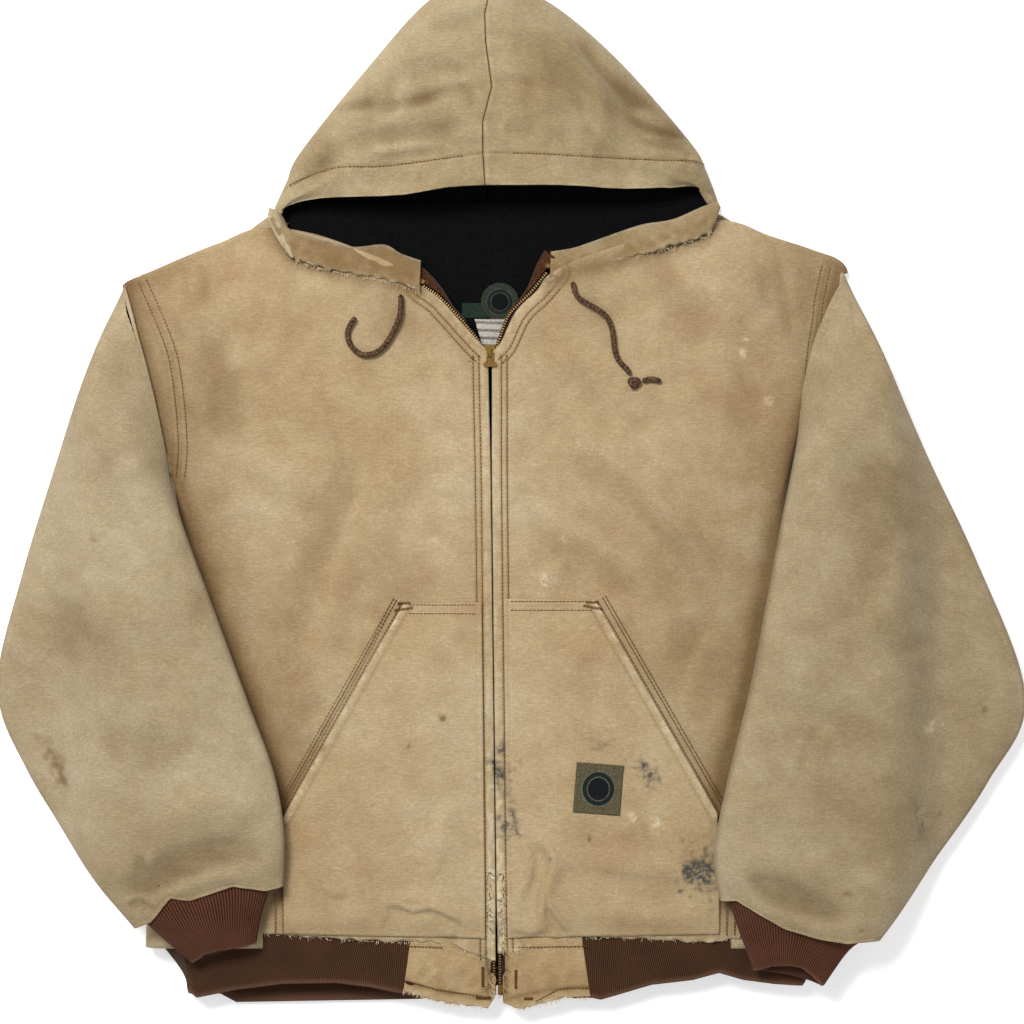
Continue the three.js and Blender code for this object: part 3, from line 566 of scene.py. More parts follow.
# %% The pattern
SIDES = {
    "right": dict(
        way=-1,
        zip=[(-3.4, 553), (-9, 565), (-20.6, 580.5), (-33.5, 595), (-46.4, 608), (-59.3, 616.6)],
        hem=[(-207, 58), (-186, 56), (-98, 50.5), (-72, 50), (-36, 47.5), (-19, 39), (-1, 34)],
        neck=[(-6, 557), (-14, 566), (-25, 578), (-37, 591.5), (-49, 604), (-62, 613), (-100, 638),
              (-190, 662),
              (-240, 648), (-305, 621), (-322, 614)],
        outer=[(-207, 58), (-246, 200), (-274, 360), (-290, 430), (-300, 480), (-307, 520), (-317, 575),
               (-322, 614)],
        pocket_top=(-78, 341), pocket_side=(-181, 158), pocket_foot=(-181, 57),
        tab=[(-72, 50), (-78, 7.5), (-41, -2.6), (-5, -7), (0, 4), (0, 42)],
        sleeve_out=[(-320, 616), (-370, 485), (-408.5, 363), (-429, 267), (-403, 196), (-359, 128),
                    (-307, 64)],
        sleeve_in=[(-278, 448), (-264, 404), (-238, 334), (-210, 258), (-188, 198), (-179, 145), (-180, 100)],
        sleeve_hem=[(0, 0), (0.12, 2), (0.25, 18), (0.38, 11), (0.67, 13), (0.89, 1), (1, 0)],
        cuff_out=[(-315, 92), (-300, 72), (-278, 50), (-260, 34.5)],
        cuff_in=[(-192, 134), (-190, 106), (-199, 74), (-203, 52.5)],
        cuff_mouth=[(0, 0), (0.18, 4), (0.4, 4), (0.8, 0), (1, 0)],
        hood_top=[(-6, 877), (-53, 862), (-111, 800), (-167, 731), (-180, 705), (-194, 676)],
        hood_face=[(-6, 699), (-38, 697), (-81, 691), (-145, 690), (-175, 685), (-190, 676)],
        hood_nape=[(-6, 658), (-50, 668), (-100, 673), (-150, 674), (-175, 672), (-190, 669)],
        rim_up=[(-190, 676), (-174, 663), (-150, 655), (-121, 649), (-95, 651), (-80, 643), (-63, 637)],
        rim_low=[(-194, 672), (-184, 652), (-175, 640), (-145, 629), (-102, 621), (-83, 616), (-64, 610)],
        armscye=[(-307, 619), (-284, 570), (-275, 535), (-270, 480), (-272, 450)],
        cord=[(-80, 606.5), (-80, 602), (-80, 597), (-80.5, 591), (-82, 585), (-84.5, 579), (-87.5, 573),
              (-91, 567), (-95.5, 561), (-101, 557), (-107, 555), (-113, 555), (-118.5, 558), (-123, 563),
              (-125.5, 569), (-125.5, 575), (-123, 581), (-119, 587)],
    ),
    "left": dict(
        way=1,
        zip=[(-3.4, 553), (0.5, 565), (9.5, 589), (18, 599.4), (31, 612.3), (44.7, 629.5)],
        hem=[(212, 55), (186, 51), (126, 53), (66, 54), (45, 50), (26, 42.5), (5, 40)],
        neck=[(0, 557), (6.5, 565), (16.5, 586.5), (24.5, 597.5), (37.5, 609.5), (52, 626), (100, 646),
              (190, 668),
              (240, 654), (294, 636), (303, 626)],
        outer=[(212, 54), (246, 200), (270, 360), (283, 430), (290, 480), (297, 520), (301, 575),
               (301, 612), (303, 626)],
        pocket_top=(87, 344), pocket_side=(192, 161), pocket_foot=(194, 57),
        tab=[(76, 51), (83, 2.5), (58, 1), (22, -8.5), (8, -3), (7.0, 45)],
        sleeve_out=[(304, 624), (347, 523), (415.4, 381), (459, 260), (427, 187), (375, 112), (330, 54)],
        sleeve_in=[(263, 490), (250, 434), (233, 344), (218, 267), (200, 193), (188, 129), (193, 88)],
        sleeve_hem=[(0, 0), (0.22, -9), (0.4, -11), (0.6, -10), (0.78, -2), (0.9, 4), (1, 0)],
        cuff_out=[(340, 84), (318, 57), (302.7, 43), (283, 15)],
        cuff_in=[(202, 124), (199, 98), (208, 66), (222, 29)],
        cuff_mouth=[(0, 0), (0.12, 6), (0.3, 12), (0.45, 12), (0.72, 8), (0.9, 3), (1, 0)],
        hood_top=[(-6, 877), (44, 860), (105, 811), (169, 740), (184, 714), (196, 684)],
        hood_face=[(-6, 699), (58, 699), (110, 697), (150, 699), (176, 700), (193, 684)],
        hood_nape=[(-6, 658), (50, 671), (100, 678), (150, 680), (175, 679), (192, 676)],
        rim_up=[(193, 688), (180, 684), (154, 673), (126, 668), (86, 654), (68, 648), (49, 645)],
        rim_low=[(196, 682), (190, 668), (180, 658), (126, 641), (86, 631), (68, 627), (48, 618)],
        armscye=[(290, 632), (282, 600), (280, 584), (276, 560), (272, 520)],
        cord=[(68, 617.5), (68.5, 613), (70, 608), (73, 603.5), (77.5, 600.5), (82.5, 597.5), (88, 594.5),
              (93, 591), (97, 587), (99.5, 582), (101.5, 576), (102.5, 570), (103, 564), (104, 558),
              (106, 552), (109.5, 547), (114, 542.5), (117, 538)],
    ),
}
ZIP_FOOT, ZIP_HEAD = (2.6, 13.0), (-3.4, 553.0)
COLLAR_FOOT = 557
BODY_TOP = [(-322, 614), (-305, 621), (-240, 648), (-190, 664), (-100, 668), (0, 650), (100, 672), (190, 672),
            (240, 657), (296, 632), (309, 614)]
BACK_HEM = 44.0
SHOULDER_DEPTH = 12.0


def zip_x(y):
    """X of the middle of the closed zip at a height on the front: a straight line."""
    return np.interp(y, [ZIP_FOOT[1], ZIP_HEAD[1]], [ZIP_FOOT[0], ZIP_HEAD[0]])


top_line = even(BODY_TOP, 200)


def top_y(x):
    """Y of the body's top edge at an X."""
    return np.interp(x, top_line[:, 0], top_line[:, 1])


def share_up(x, y):
    """How far up the body a place is: 0 at the hem, 1 at the top edge."""
    return np.clip((y - BACK_HEM) / (top_y(x) - BACK_HEM), 0, 1)


def body_height(share):
    """Height of the body as it lies, by the share of the way up: level, then down to the shoulder."""
    return mix(BODY_DEPTH, SHOULDER_DEPTH, ease(share, 0.9, 1))


# %% [markdown]
# ## The two fronts
#
# Each front is one sheet. Its height is the body's, plus the folds of cloth that was washed and laid out,
# less the valleys of its seams. A sewn edge stands up a little beside its stitches and rubs pale there.
# The front ends at the placket, a hair from the other front, so the zip's slider can run between.

# %% Height and wear of the fronts
STITCH_ROWS = (8.2, 13.2)


def placket_gap(y):
    """Half the gap between the two fronts: widest just under the slider, closed where it is worn."""
    return mix(0.45, 1.5, ease(y, 440, 555)) + 0.5 * ease(y, 95, 50)


def placket_line(side):
    """The front edge from the hem up to the slider and along the collar's V."""
    way = side["way"]
    heights = np.linspace(side["hem"][-1][1], COLLAR_FOOT, 12)
    straight = np.c_[zip_x(heights) + way * placket_gap(heights), heights]
    return np.concatenate([straight[:-1], even([straight[-1], *side["neck"][1:6]], 24)])


def inner_fold(side):
    """The line along which the sleeve's inner fold lies on the body, from the shoulder to the hem."""
    v = np.linspace(0, 1, 12)
    c = np.linspace(-1, 1, 8)[:-1, None]
    a, b = np.array(side["sleeve_out"][0]), np.array(side["sleeve_in"][0])
    return np.concatenate([(a + b) / 2 + (b - a) / 2 * c, curve_at(side["sleeve_in"], v)])


FOLDS = {
    "right": [
        ([(-92, 474), (-132, 399), (-172, 258)], 15, 1.5, "lap"),
        ([(-238, 590), (-236, 530), (-226, 470)], 17, -1.9),
        ([(-205, 330), (-196, 260), (-190, 215)], 12, 1.0), ([(-60, 500), (-40, 440), (-24, 380)], 12, 0.6),
        ([(-150, 600), (-130, 560), (-125, 520)], 16, 0.9),
        ([(-215, 470), (-170, 440), (-120, 452)], 12, 0.8, "lap"),
        ([(-98, 77.4), (-84, 80), (-70, 75), (-55, 77.5), (-41, 72), (-29, 65.5), (-26, 57)], 2.6, 1.7,
         "lap"),
        ([(-102, 86), (-70, 88), (-44, 82), (-22, 72)], 5, 1.2),
        ([(-48, 60), (-40, 54), (-30, 58)], 3, 0.9, "lap"),
        ([(-200, 74), (-150, 66), (-100, 72)], 8, 0.8), ([(-60, 100), (-48, 125), (-52, 150)], 6, 0.8),
        ([(-150, 100), (-140, 90), (-124, 92)], 4, 0.8, "lap"), ([(-95, 62), (-88, 72), (-90, 84)], 3, -0.8),
        ([(-255, 640), (-250, 615), (-252, 590)], 5, -0.9), ([(-275, 630), (-268, 606), (-266, 584)], 5, 0.8),
        ([(-226, 646), (-222, 622), (-226, 600)], 6, 0.8),
        ([(-36, 180), (-52, 150), (-50, 110)], 9, 1.0, "lap"),
        ([(-100, 610), (-84, 590), (-60, 570)], 8, -1.2), ([(-30, 560), (-40, 540), (-42, 500)], 8, 0.9),
    ],
    "left": [
        ([(58, 488), (125, 435), (195, 355)], 8, 1.9, "lap"),
        ([(27, 417), (98, 378), (142, 328)], 8, 1.3, "lap"),
        ([(90, 505), (150, 465), (200, 420)], 12, 1.0), ([(206, 600), (214, 540), (206, 470)], 13, -1.3),
        ([(130, 640), (165, 600), (190, 560)], 14, -1.2),
        ([(60, 560), (110, 520), (150, 480)], 12, 0.9, "lap"),
        ([(26, 142), (43, 128), (46, 112), (38, 93), (36, 74), (31, 54)], 5.5, 2.2, "lap"),
        ([(20, 150), (30, 120), (26, 84)], 6, 1.5), ([(43, 87), (54, 68), (66, 55)], 2.8, 1.6, "lap"),
        ([(45, 92), (64, 102), (79, 105), (117, 98), (165, 93), (190, 88)], 8, -2.5),
        ([(70, 120), (120, 116), (180, 112)], 10, 1.2), ([(80, 76), (130, 72), (190, 70)], 9, 1.3),
        ([(12, 62), (30, 56), (50, 60)], 4, 1.2, "lap"), ([(30, 600), (22, 570), (14, 540)], 8, 0.8),
        ([(190, 330), (172, 300), (150, 250)], 12, 1.0, "lap"), ([(70, 300), (82, 266), (96, 236)], 7, -1.2),
        ([(20, 330), (48, 345), (80, 338)], 5, 0.6), ([(75, 612), (90, 590), (112, 578)], 9, -1.4),
        ([(250, 640), (256, 600), (262, 560)], 6, 0.9, "lap"),
        ([(225, 650), (232, 612), (236, 590)], 6, -0.8),
    ],
}


def inward(x, y, side):
    """Distance from the sleeve's inner fold, positive on the side of the body."""
    away, _, turn = nearest(x, y, inner_fold(side))
    return -away * turn * side["way"]


FRONT_WRINKLES = {name: wrinkles(40 + side["way"], 26, 60, 1.2, (side["way"] * 8.0, 60.0),
                                 (side["way"] * 280.0, 640.0))
                  for name, side in SIDES.items()}


def front_folds(x, y, name):
    """Hills, named folds and chance wrinkles of the front."""
    side = SIDES[name]
    return limited(0.9 * hills(x, y, 60, 3 + side["way"], 1.6) + 0.25 * hills(x, y, 18, 8)
                   + 1.7 * creases(x, y, FOLDS[name]) + creases(x, y, FRONT_WRINKLES[name]), 2.2)


def front_height(x, y, name):
    """Top of the front in mm: the body's height, hills, wrinkles and named folds, a ridge and valleys at
    the seams with their puckers, and a fall at the side, where the sleeve comes over it."""
    side = SIDES[name]
    z = mix(BODY_DEPTH, body_height(share_up(x, y)), ease(np.abs(x), 95, 150)) - 1.0
    z = z - np.minimum(13.0, 0.6 * z) * ease(-inward(x, y, side), -4, 9) * ease(y, 380, 460)
    z = z + front_folds(x, y, name)
    edge, along, _ = nearest(x, y, placket_line(side))
    z = z + 0.6 * bell(edge - 3.6, 3.0) + 0.3 * bell(edge - 10.8, 1.6) - 0.5 * bell(edge, 1.2)
    z = z + 0.22 * pucker(edge - 8, along, 7, 9, 2)
    for row in STITCH_ROWS:
        z = z - 0.55 * bell(edge - row, 1.2)
    seam, along, _ = nearest(x, y, even(side["armscye"], 20))
    z = z - 0.6 * bell(seam, 1.4) + 0.5 * bell(seam - 4, 2.5) + 0.3 * pucker(seam, along, 8, 8, 4)
    hem = np.abs(y - np.interp(x, *zip(*sorted(side["hem"]))))
    z = z + 0.35 * bell(hem, 4) + 0.4 * pucker(hem, x, 8, 13, 6) - 0.9 * bell(hem, 1.5)
    return z


SPOTS = {
    "blackened": [(6, 216, 4, 1.3), (5, 195, 7, 1.4), (12, 147, 8, 1.0), (-5, 205, 4, 0.6),
                  (134, 193.5, 7, 0.9),
                  (91, 219, 6, 0.45), (128, 204, 4, 0.5), (180, 111, 13, 1.6), (168, 107, 6, 1.0),
                  (4, 62, 5, 0.6), (-6, 30, 4, 0.5), (10, 178, 4, 0.6), (14, 163, 5, 0.6)],
    "worn": [(44, 361, 5, 1.2), (119, 156.5, 4, 1.1), (140, 153, 5, 1.3), (213, 557, 2.5, 1.0),
             (237, 516, 3.5, 0.9),
             (-52, 395, 4, 0.6), (60, 396, 4, 0.5), (4, 108, 6, 0.9), (4, 84, 7, 1.0), (3, 62, 6, 1.0),
             (218, 568, 2, 0.8)],
    "soiled": [(-44, 242, 2.2, 1.0), (-73, 219, 1.8, 0.9), (-146, 217, 3, 0.5), (48, 122, 1.6, 0.9),
               (82, 138, 1.4, 1.0),
               (163, 138, 1.6, 0.9), (-104, 168, 1.4, 0.8)],
    # The last spots are broad soft painted shade where the cloth lies in dips.
    "painted_shade_and_tone": [(254, 616, 44, 1.3), (-253, 605, 34, 0.5), (165, 385, 40, 0.6), (-250, 500, 40, 0.5),
            (-236, 520, 34, 0.55), (-253, 430, 30, 0.4), (-170, 370, 46, 0.4), (160, 372, 46, 0.75),
            (178, 300, 34, 0.6),
            (205, 470, 34, 0.35), (186, 210, 30, 0.4), (-90, 590, 24, 0.35), (85, 596, 26, 0.5),
            (-60, 130, 26, 0.2),
            (60, 250, 26, 0.25), (110, 96, 22, 0.35), (160, 93, 20, 0.4), (-210, 330, 30, 0.25)],
}


def spots(x, y, kind):
    """Marks of one kind: a round blot at each spot, its edge pulled in and out by small hills; the soft spots
    of painted shade keep a smooth edge.
    """
    total = np.zeros(np.shape(x))
    ragged = np.exp(0.35 * hills(x, y, 4, 71) + 0.25 * hills(x, y, 9, 74)) if kind != "painted_shade_and_tone" else 1
    for sx, sy, radius, strength in SPOTS[kind]:
        total = total + strength * bell(np.hypot(x - sx, y - sy) * ragged, radius)
    return np.clip(total, 0, 1)


def front_marks(x, y, name):
    """Worn along edges and seams, soiled along the stitch rows, painted shade beside the sleeve, under the
    hood's rim and in the folds' valleys with a little chance tone, and the blots."""
    side = SIDES[name]
    edge = away_from(x, y, placket_line(side))
    patchy = patches(x, y, 14, 31)
    streaks = patches(x * 2.2, y, 8, 32)
    low_zip = ease(y, 260, 120)
    worn = (0.55 * bell(edge - 1, 2.0) + 0.4 * bell(edge - 5.5, 1.6)) * streaks + spots(x, y, "worn")
    worn = worn + 0.6 * low_zip * bell(edge - 3, 4) * streaks
    hem = np.abs(y - np.interp(x, *zip(*sorted(side["hem"]))))
    worn = worn + 0.7 * bell(hem, 1.6) * patchy
    soiled = 0.6 * bell(edge - STITCH_ROWS[0], 1.1) + 0.6 * bell(edge - STITCH_ROWS[1], 1.1)
    soiled = soiled + 0.16 * bell(hem - 9, 8) * (1 - patchy) + spots(x, y, "soiled")
    seam = away_from(x, y, even(side["armscye"], 20))
    soiled = soiled + 0.35 * bell(seam - 1.5, 1.0) + 0.3 * bell(seam - 6, 1.0)
    fold = away_from(x, y, inner_fold(side))
    rim = away_from(x, y, side["rim_low"])
    # A bell bends down on both sides of the fold, so the darkest painted shade lies right beside the sleeve,
    # where its shadow falls.
    painted_shade_and_tone = 0.35 * spots(x, y, "painted_shade_and_tone") + 0.6 * bell(fold, 11) + 0.42 * bell(fold, 42) + 0.7 * bell(rim, 8)
    painted_shade_and_tone = painted_shade_and_tone + 0.08 * (1 - patchy) + 0.16 * np.clip(-front_folds(x, y, name) - 0.3, 0, 4)
    return {"worn": np.clip(worn, 0, 1), "soiled": np.clip(soiled, 0, 1), "painted_shade_and_tone": np.clip(painted_shade_and_tone, 0, 1),
            "blackened": spots(x, y, "blackened")}

# %% The fronts
def front_grid(side, columns=200, rows=270):
    """The front's plan: a fill between the hem, the neck and shoulder, the placket and the side."""
    way = side["way"]
    foot = side["hem"][-1][1]
    heights = np.linspace(foot, COLLAR_FOOT, rows)
    edge = np.c_[zip_x(heights) + way * placket_gap(heights), heights]
    bottom = even([edge[0], *side["hem"][-2::-1]], columns)
    top = even([edge[-1], *side["neck"][1:]], columns)
    return fill(bottom, top, edge, even(side["outer"], rows))


for name, side in SIDES.items():
    plan = front_grid(side)
    x, y = plan[..., 0], plan[..., 1]
    y = y + 0.8 * hills(x, y, 9, 45) * bell(y - y[:1], 8)
    z = front_height(x, y, name)
    # The top edge rolls over the shoulder to the back: a quarter turn and more round half the depth.
    turn = np.linspace(0, np.pi * 0.8, 9)[1:, None]
    radius = mix(1.0, 5.4, ease(np.abs(x[-1]), 95, 160))
    radius = np.minimum(radius, np.maximum((z[-1] - 1.8) / 1.9, 0.5))[None]
    slope = np.gradient(y[-1]) / np.gradient(x[-1])
    away = np.stack([-slope, np.ones_like(slope)]) / np.hypot(slope, 1)
    x = np.concatenate([x, x[-1] + away[0] * radius * np.sin(turn)])
    y = np.concatenate([y, y[-1] + away[1] * radius * np.sin(turn)])
    z = np.concatenate([z, z[-1] - radius * (1 - np.cos(turn))])
    mesh = grid_mesh(f"front_{name}", np.stack([x, y, z], -1), marks=front_marks(x, y, name),
                     facing=(0, 0, 1))
    piece(f"front_{name}", mesh, chest_duck, "jacket", [f"front_panel_{name}"], wall=1.4)
print("fronts", len(mesh.polygons), "quads each")

# %% [markdown]
# ## The back
#
# The back is one sheet that wraps round both sides. Each row across it runs from the right seam over the
# rounded side, along the table and up round the left side, so a row is a line of widths and heights.

# %% The back
def back_rows(inset, stations):
    """Rows of the back at some shares of the way up, a depth inside its outer face."""
    out = []
    side_x = {k: even(pts, 120) for k, pts in {
        "right": [(-303, 44), (-298, 200), (-295, 330), (-294, 430), (-300, 520), (-321, 616)],
        "left": [(300, 44), (298, 200), (295, 330), (290, 430), (293, 520), (308, 618)]}.items()}
    for v in stations:
        y_mid = mix(BACK_HEM, 616, v)
        right = np.interp(y_mid, side_x["right"][:, 1], side_x["right"][:, 0])
        left = np.interp(y_mid, side_x["left"][:, 1], side_x["left"][:, 0])
        height = body_height(v)
        r = height / 2
        a = np.linspace(0, np.pi, 14)
        # On top, each side runs on to the side seam and ends a little under the front's edge.
        seam = {k: np.interp(y_mid, *np.array(SIDES[k]["outer"]).T[::-1]) - SIDES[k]["way"] * 8
                for k in SIDES}
        seam_right, seam_left = max(seam["right"], right + r + 8), min(seam["left"], left - r - 8)
        xs = np.concatenate([np.linspace(seam_right, right + r, 8)[:-1], right + r - (r - inset) * np.sin(a),
                             np.linspace(right + r, left - r, 110)[1:-1], left - r + (r - inset) * np.sin(a),
                             np.linspace(left - r, seam_left, 8)[1:]])
        tuck = height - inset - np.linspace(mix(0.4, 2.4, ease(y_mid, 66, 100)), 0, 8)[:-1]
        zs = np.concatenate([tuck, r + (r - inset) * np.cos(a), np.full(108, inset),
                             r - (r - inset) * np.cos(a),
                             tuck[::-1]])
        ys = BACK_HEM + (top_y(xs) - BACK_HEM) * v
        out.append(np.stack([xs, ys, zs], -1))
    return np.array(out)


back = back_rows(1.6, np.linspace(0, 1, 70))
back_hills = 0.4 * hills(back[..., 0], back[..., 1], 40, 12) * (back[..., 2] > 4)
back[..., 2] = np.maximum(back[..., 2] + back_hills, 0.3)
back_mesh = grid_mesh("back", back, facing="out", marks={"worn": bell(back[..., 1] - BACK_HEM, 3) * 0.5})
piece("back", back_mesh, chest_duck, "jacket", ["back_panel"], wall=1.3)
lining = back_rows(4.2, np.linspace(0.045, 0.985, 40))
piece("back_lining_cloth", grid_mesh("back_lining_cloth", lining, facing="out"), black_lining, "jacket",
      ["back_lining"], wall=1.6)

# %% [markdown]
# ## The lining of the fronts and the zip's facing
#
# Inside each front is its lining, and beside the zip a rust-brown facing that shows in the collar's V. A
# band beside a line is made by stepping sideways from it, so one function makes the facing, the tape and
# the places of the teeth.

# %% Bands beside the zip
CHAIN_HIGH = BODY_DEPTH - 4.5
CHAIN_LOW = CHAIN_HIGH - 4.5
FACING_FOOT, FACING_WIDTH = 67, 36.0
LINING_DEPTH = 4.3


def zip_path(side, spacing):
    """The zip's line from its foot to its top stop, with a point about every spacing mm."""
    line = np.concatenate([[ZIP_FOOT], curve_at(side["zip"], np.linspace(0, 1, 120))])
    along = lengths(line)
    places = np.arange(0, along[-1], spacing)
    return np.stack([np.interp(places, along, axis) for axis in line.T], -1)


def sideways(line, way):
    """Unit steps away from the zip at each point: the line's direction turned a quarter turn."""
    along = np.gradient(line, axis=0)
    along = along / np.linalg.norm(along, axis=1, keepdims=True)
    return np.stack([along[:, 1], -along[:, 0]], -1) * way


for name, side in SIDES.items():
    way = side["way"]
    line = zip_path(side, 3.0)
    out = sideways(line, way)
    tape = line[:, None] + out[:, None] * np.linspace(1.2, 13.9, 9)[None, :, None]
    sag = 0.25 * hills(tape[..., 0], tape[..., 1], 12, 5)
    grid = np.concatenate([tape, (CHAIN_LOW + 2.2 + sag)[..., None]], -1)
    piece(f"zip_tape_{name}", grid_mesh(f"zip_tape_{name}", grid), zip_tape, "jacket",
          [f"zipper_tape_{name}"], wall=0.6)
    keep = line[:, 1] > FACING_FOOT
    facing = line[keep][:, None] + out[keep][:, None] * np.linspace(12.5, 34, 16)[None, :, None]
    level = CHAIN_HIGH + 1.3 + 0.5 * hills(facing[..., 0], facing[..., 1], 15, 6)
    level = level - 1.2 * ease(np.linspace(0, 1, 16), 0.4, 1)[None]
    grid = np.concatenate([facing, level[..., None]], -1)
    piece(f"zip_facing_{name}", grid_mesh(f"zip_facing_{name}", grid), rust_facing, "jacket",
          [f"front_facing_{name}"], wall=0.8)
    # The lining starts at the facing and ends at the side seam.
    foot, head = ((zip_x(y) + way * FACING_WIDTH, y) for y in (FACING_FOOT, 525))
    shoulder = {"right": [(-100, 612), (-140, 640), (-190, 648), (-240, 632), (-284, 610)],
                "left": [(100, 618), (140, 648), (190, 652), (240, 636), (280, 620)]}[name]
    outer = [(p[0] - way * 4, max(p[1], FACING_FOOT)) for p in side["outer"][:-1]] + [shoulder[-1]]
    plan = fill(even([foot, outer[0]], 40, False), even([head, *shoulder], 40), even([foot, head], 60, False),
                even(outer, 60))
    level = front_height(plan[..., 0], plan[..., 1], name) - LINING_DEPTH
    grid = np.concatenate([plan, level[..., None]], -1)
    piece(f"front_lining_cloth_{name}", grid_mesh(f"front_lining_cloth_{name}", grid), black_lining, "jacket",
          [f"front_lining_{name}"], wall=1.6)

# %% [markdown]
# ## Zip teeth
#
# Each tooth is a little brass block clamped to the tape's edge, with a nib that points at the teeth
# across from it. Below the slider the rows face each other, each tooth opposite a gap, and stop short of the
# middle so that the slider passes; above it they part along the V. One tooth is sixteen faces, and it is
# copied to every place at once by adding the place to its points.

# %% Teeth
TOOTH_PITCH = 2.3
TOOTH_SHAPE = np.array([(-0.65, 0.1), (0.65, 0.1), (0.55, 1.6), (0.3, 2.65), (-0.3, 2.65), (-0.55, 1.6)])


def quads_mesh(name, points, quads):
    """A mesh from points in garment mm and four-cornered faces, both as arrays."""
    mesh = bpy.data.meshes.new(name)
    mesh.from_pydata(to_frame(points).tolist(), [], quads.tolist())
    mesh.update()
    return mesh


def prism_copies(name, outline, low, high, places, angles, taper=0.8):
    """Copies of a prism on an outline of an even number of points, narrowed at the top by taper, turned
    and moved to each place. Each cap is a fan of quads."""
    n = len(outline)
    ring = np.concatenate([np.c_[outline, np.full(n, low)], np.c_[outline, np.full(n, mix(low, high, 0.7))],
                           np.c_[outline * taper, np.full(n, high)]])
    i = np.arange(n)
    wall = np.stack([i, (i + 1) % n, (i + 1) % n + n, i + n], -1)
    fan = np.arange(0, n - 2, 2)[:, None] + (0, 1, 2, 3)
    fan = np.where((fan % n == 0) | (np.arange(4) == 0), 0, fan)
    faces = np.concatenate([wall, wall + n, fan[:, ::-1], fan + 2 * n])
    c, s = np.cos(angles), np.sin(angles)
    x = ring[None, :, 0] * c[:, None] - ring[None, :, 1] * s[:, None] + places[:, :1]
    y = ring[None, :, 0] * s[:, None] + ring[None, :, 1] * c[:, None] + places[:, 1:2]
    points = np.stack([x, y, np.broadcast_to(ring[:, 2], x.shape)], -1)
    if places.shape[1] > 2:
        points[..., 2] += places[:, 2:3]
    step = 3 * n * np.arange(len(places))[:, None, None]
    return quads_mesh(name, points.reshape(-1, 3), (faces[None] + step).reshape(-1, 4))


for name, side in SIDES.items():
    way = side["way"]
    line = zip_path(side, TOOTH_PITCH)
    if way > 0:
        line = (line[:-1] + line[1:]) / 2
    out = sideways(line, way)
    angles = np.arctan2(out[:, 1], out[:, 0]) + np.pi / 2
    meshed = line[:, 1] < ZIP_HEAD[1]
    start = np.where(meshed, 3.52, 3.6)[:, None]
    places = line + out * start
    teeth = prism_copies(f"zip_teeth_{name}", TOOTH_SHAPE, CHAIN_LOW + 0.6, CHAIN_HIGH, places, angles)
    piece(f"zip_teeth_{name}", teeth, tooth_brass, "jacket", [f"zipper_teeth_{name}"])
print("teeth on one side", len(places))
for node in ("zipper_top_stop_right", "zipper_top_stop_left", "zipper_box", "zipper_pin", "zipper_slider",
             "zipper_pull"):
    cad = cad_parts[node]
    for material_slot in cad.material_slots:
        material_slot.material = brass

# %% [markdown]
# ## Pockets
#
# Each pocket is one sheet sewn on at its top, its zip side and the hem, and open on its slant, where the
# edge is turned twice and stitched in three rows. It fills a little as a used pocket does.

# %% Pockets
POCKET_EDGE = 9.5


def pocket_plan(name, columns=130, rows=150):
    """The pocket's plan: its outer edge is straight up the side and then along the slant."""
    side = SIDES[name]
    way = side["way"]
    foot = (zip_x(50) + way * POCKET_EDGE, side["pocket_foot"][1] - 4)
    head = (zip_x(side["pocket_top"][1]) + way * POCKET_EDGE, side["pocket_top"][1] + 1)
    outer = even([side["pocket_foot"], side["pocket_side"], side["pocket_top"]], rows, curved=False)
    return fill(even([foot, side["pocket_foot"]], columns, False),
                even([head, side["pocket_top"]], columns, False),
                even([foot, head], rows, False), outer)


def pocket_rise(x, y, name):
    """How far the pocket stands off the front: full in the middle, flat at its sewn edges, and a little
    proud along the slant, where it is open."""
    side = SIDES[name]
    sewn = np.minimum(np.abs(x - zip_x(y)) - POCKET_EDGE, side["pocket_top"][1] + 1 - y)
    sewn = np.minimum(sewn, y - 50)
    slant = away_from(x, y, [side["pocket_side"], side["pocket_top"]])
    fullness = ease(sewn, 0, 55) * 3.6 + 1.6
    return fullness - 0.8 * bell(slant, 16) + 0.5 * bell(slant - 2.5, 3) - 0.35 * bell(slant - 6.5, 1.3)


def pocket_height(x, y, name):
    """Top of the pocket's cloth."""
    return front_height(x, y, name) + pocket_rise(x, y, name)


for name, side in SIDES.items():
    plan = pocket_plan(name)
    x, y = plan[..., 0], plan[..., 1]
    slant = away_from(x, y, [side["pocket_side"], side["pocket_top"]])
    patchy = patches(x, y, 10, 33)
    top_edge = np.abs(side["pocket_top"][1] + 1 - y)
    worn = spots(x, y, "worn") + 0.9 * bell(slant - 1.2, 1.8) * patchy + 0.5 * bell(slant - 4.5, 1.5) * patchy
    worn = worn + 0.4 * bell(top_edge, 1.6) * patchy
    marks = {"worn": np.clip(worn, 0, 1), "blackened": spots(x, y, "blackened"),
             "soiled": np.clip(spots(x, y, "soiled") + 0.3 * bell(slant - 7, 1.5) + 0.2 * bell(y - 62, 9),
                               0, 1)}
    grid = np.concatenate([plan, pocket_height(x, y, name)[..., None]], -1)
    piece(f"pocket_cloth_{name}", grid_mesh(f"pocket_cloth_{name}", grid, marks=marks), chest_duck, "jacket",
          [f"pocket_{name}"], wall=1.3)

# %% [markdown]
# ## Waist tabs and the rib-knit waist
#
# Below the hem the placket goes on as two small duck tabs, and between them one doubled band of rib knit
# goes round the back. The band's lower edge is a fold, so the sheet runs down the outside, turns and
# comes up inside, and its foot rises and falls where the knit has lost its stretch.

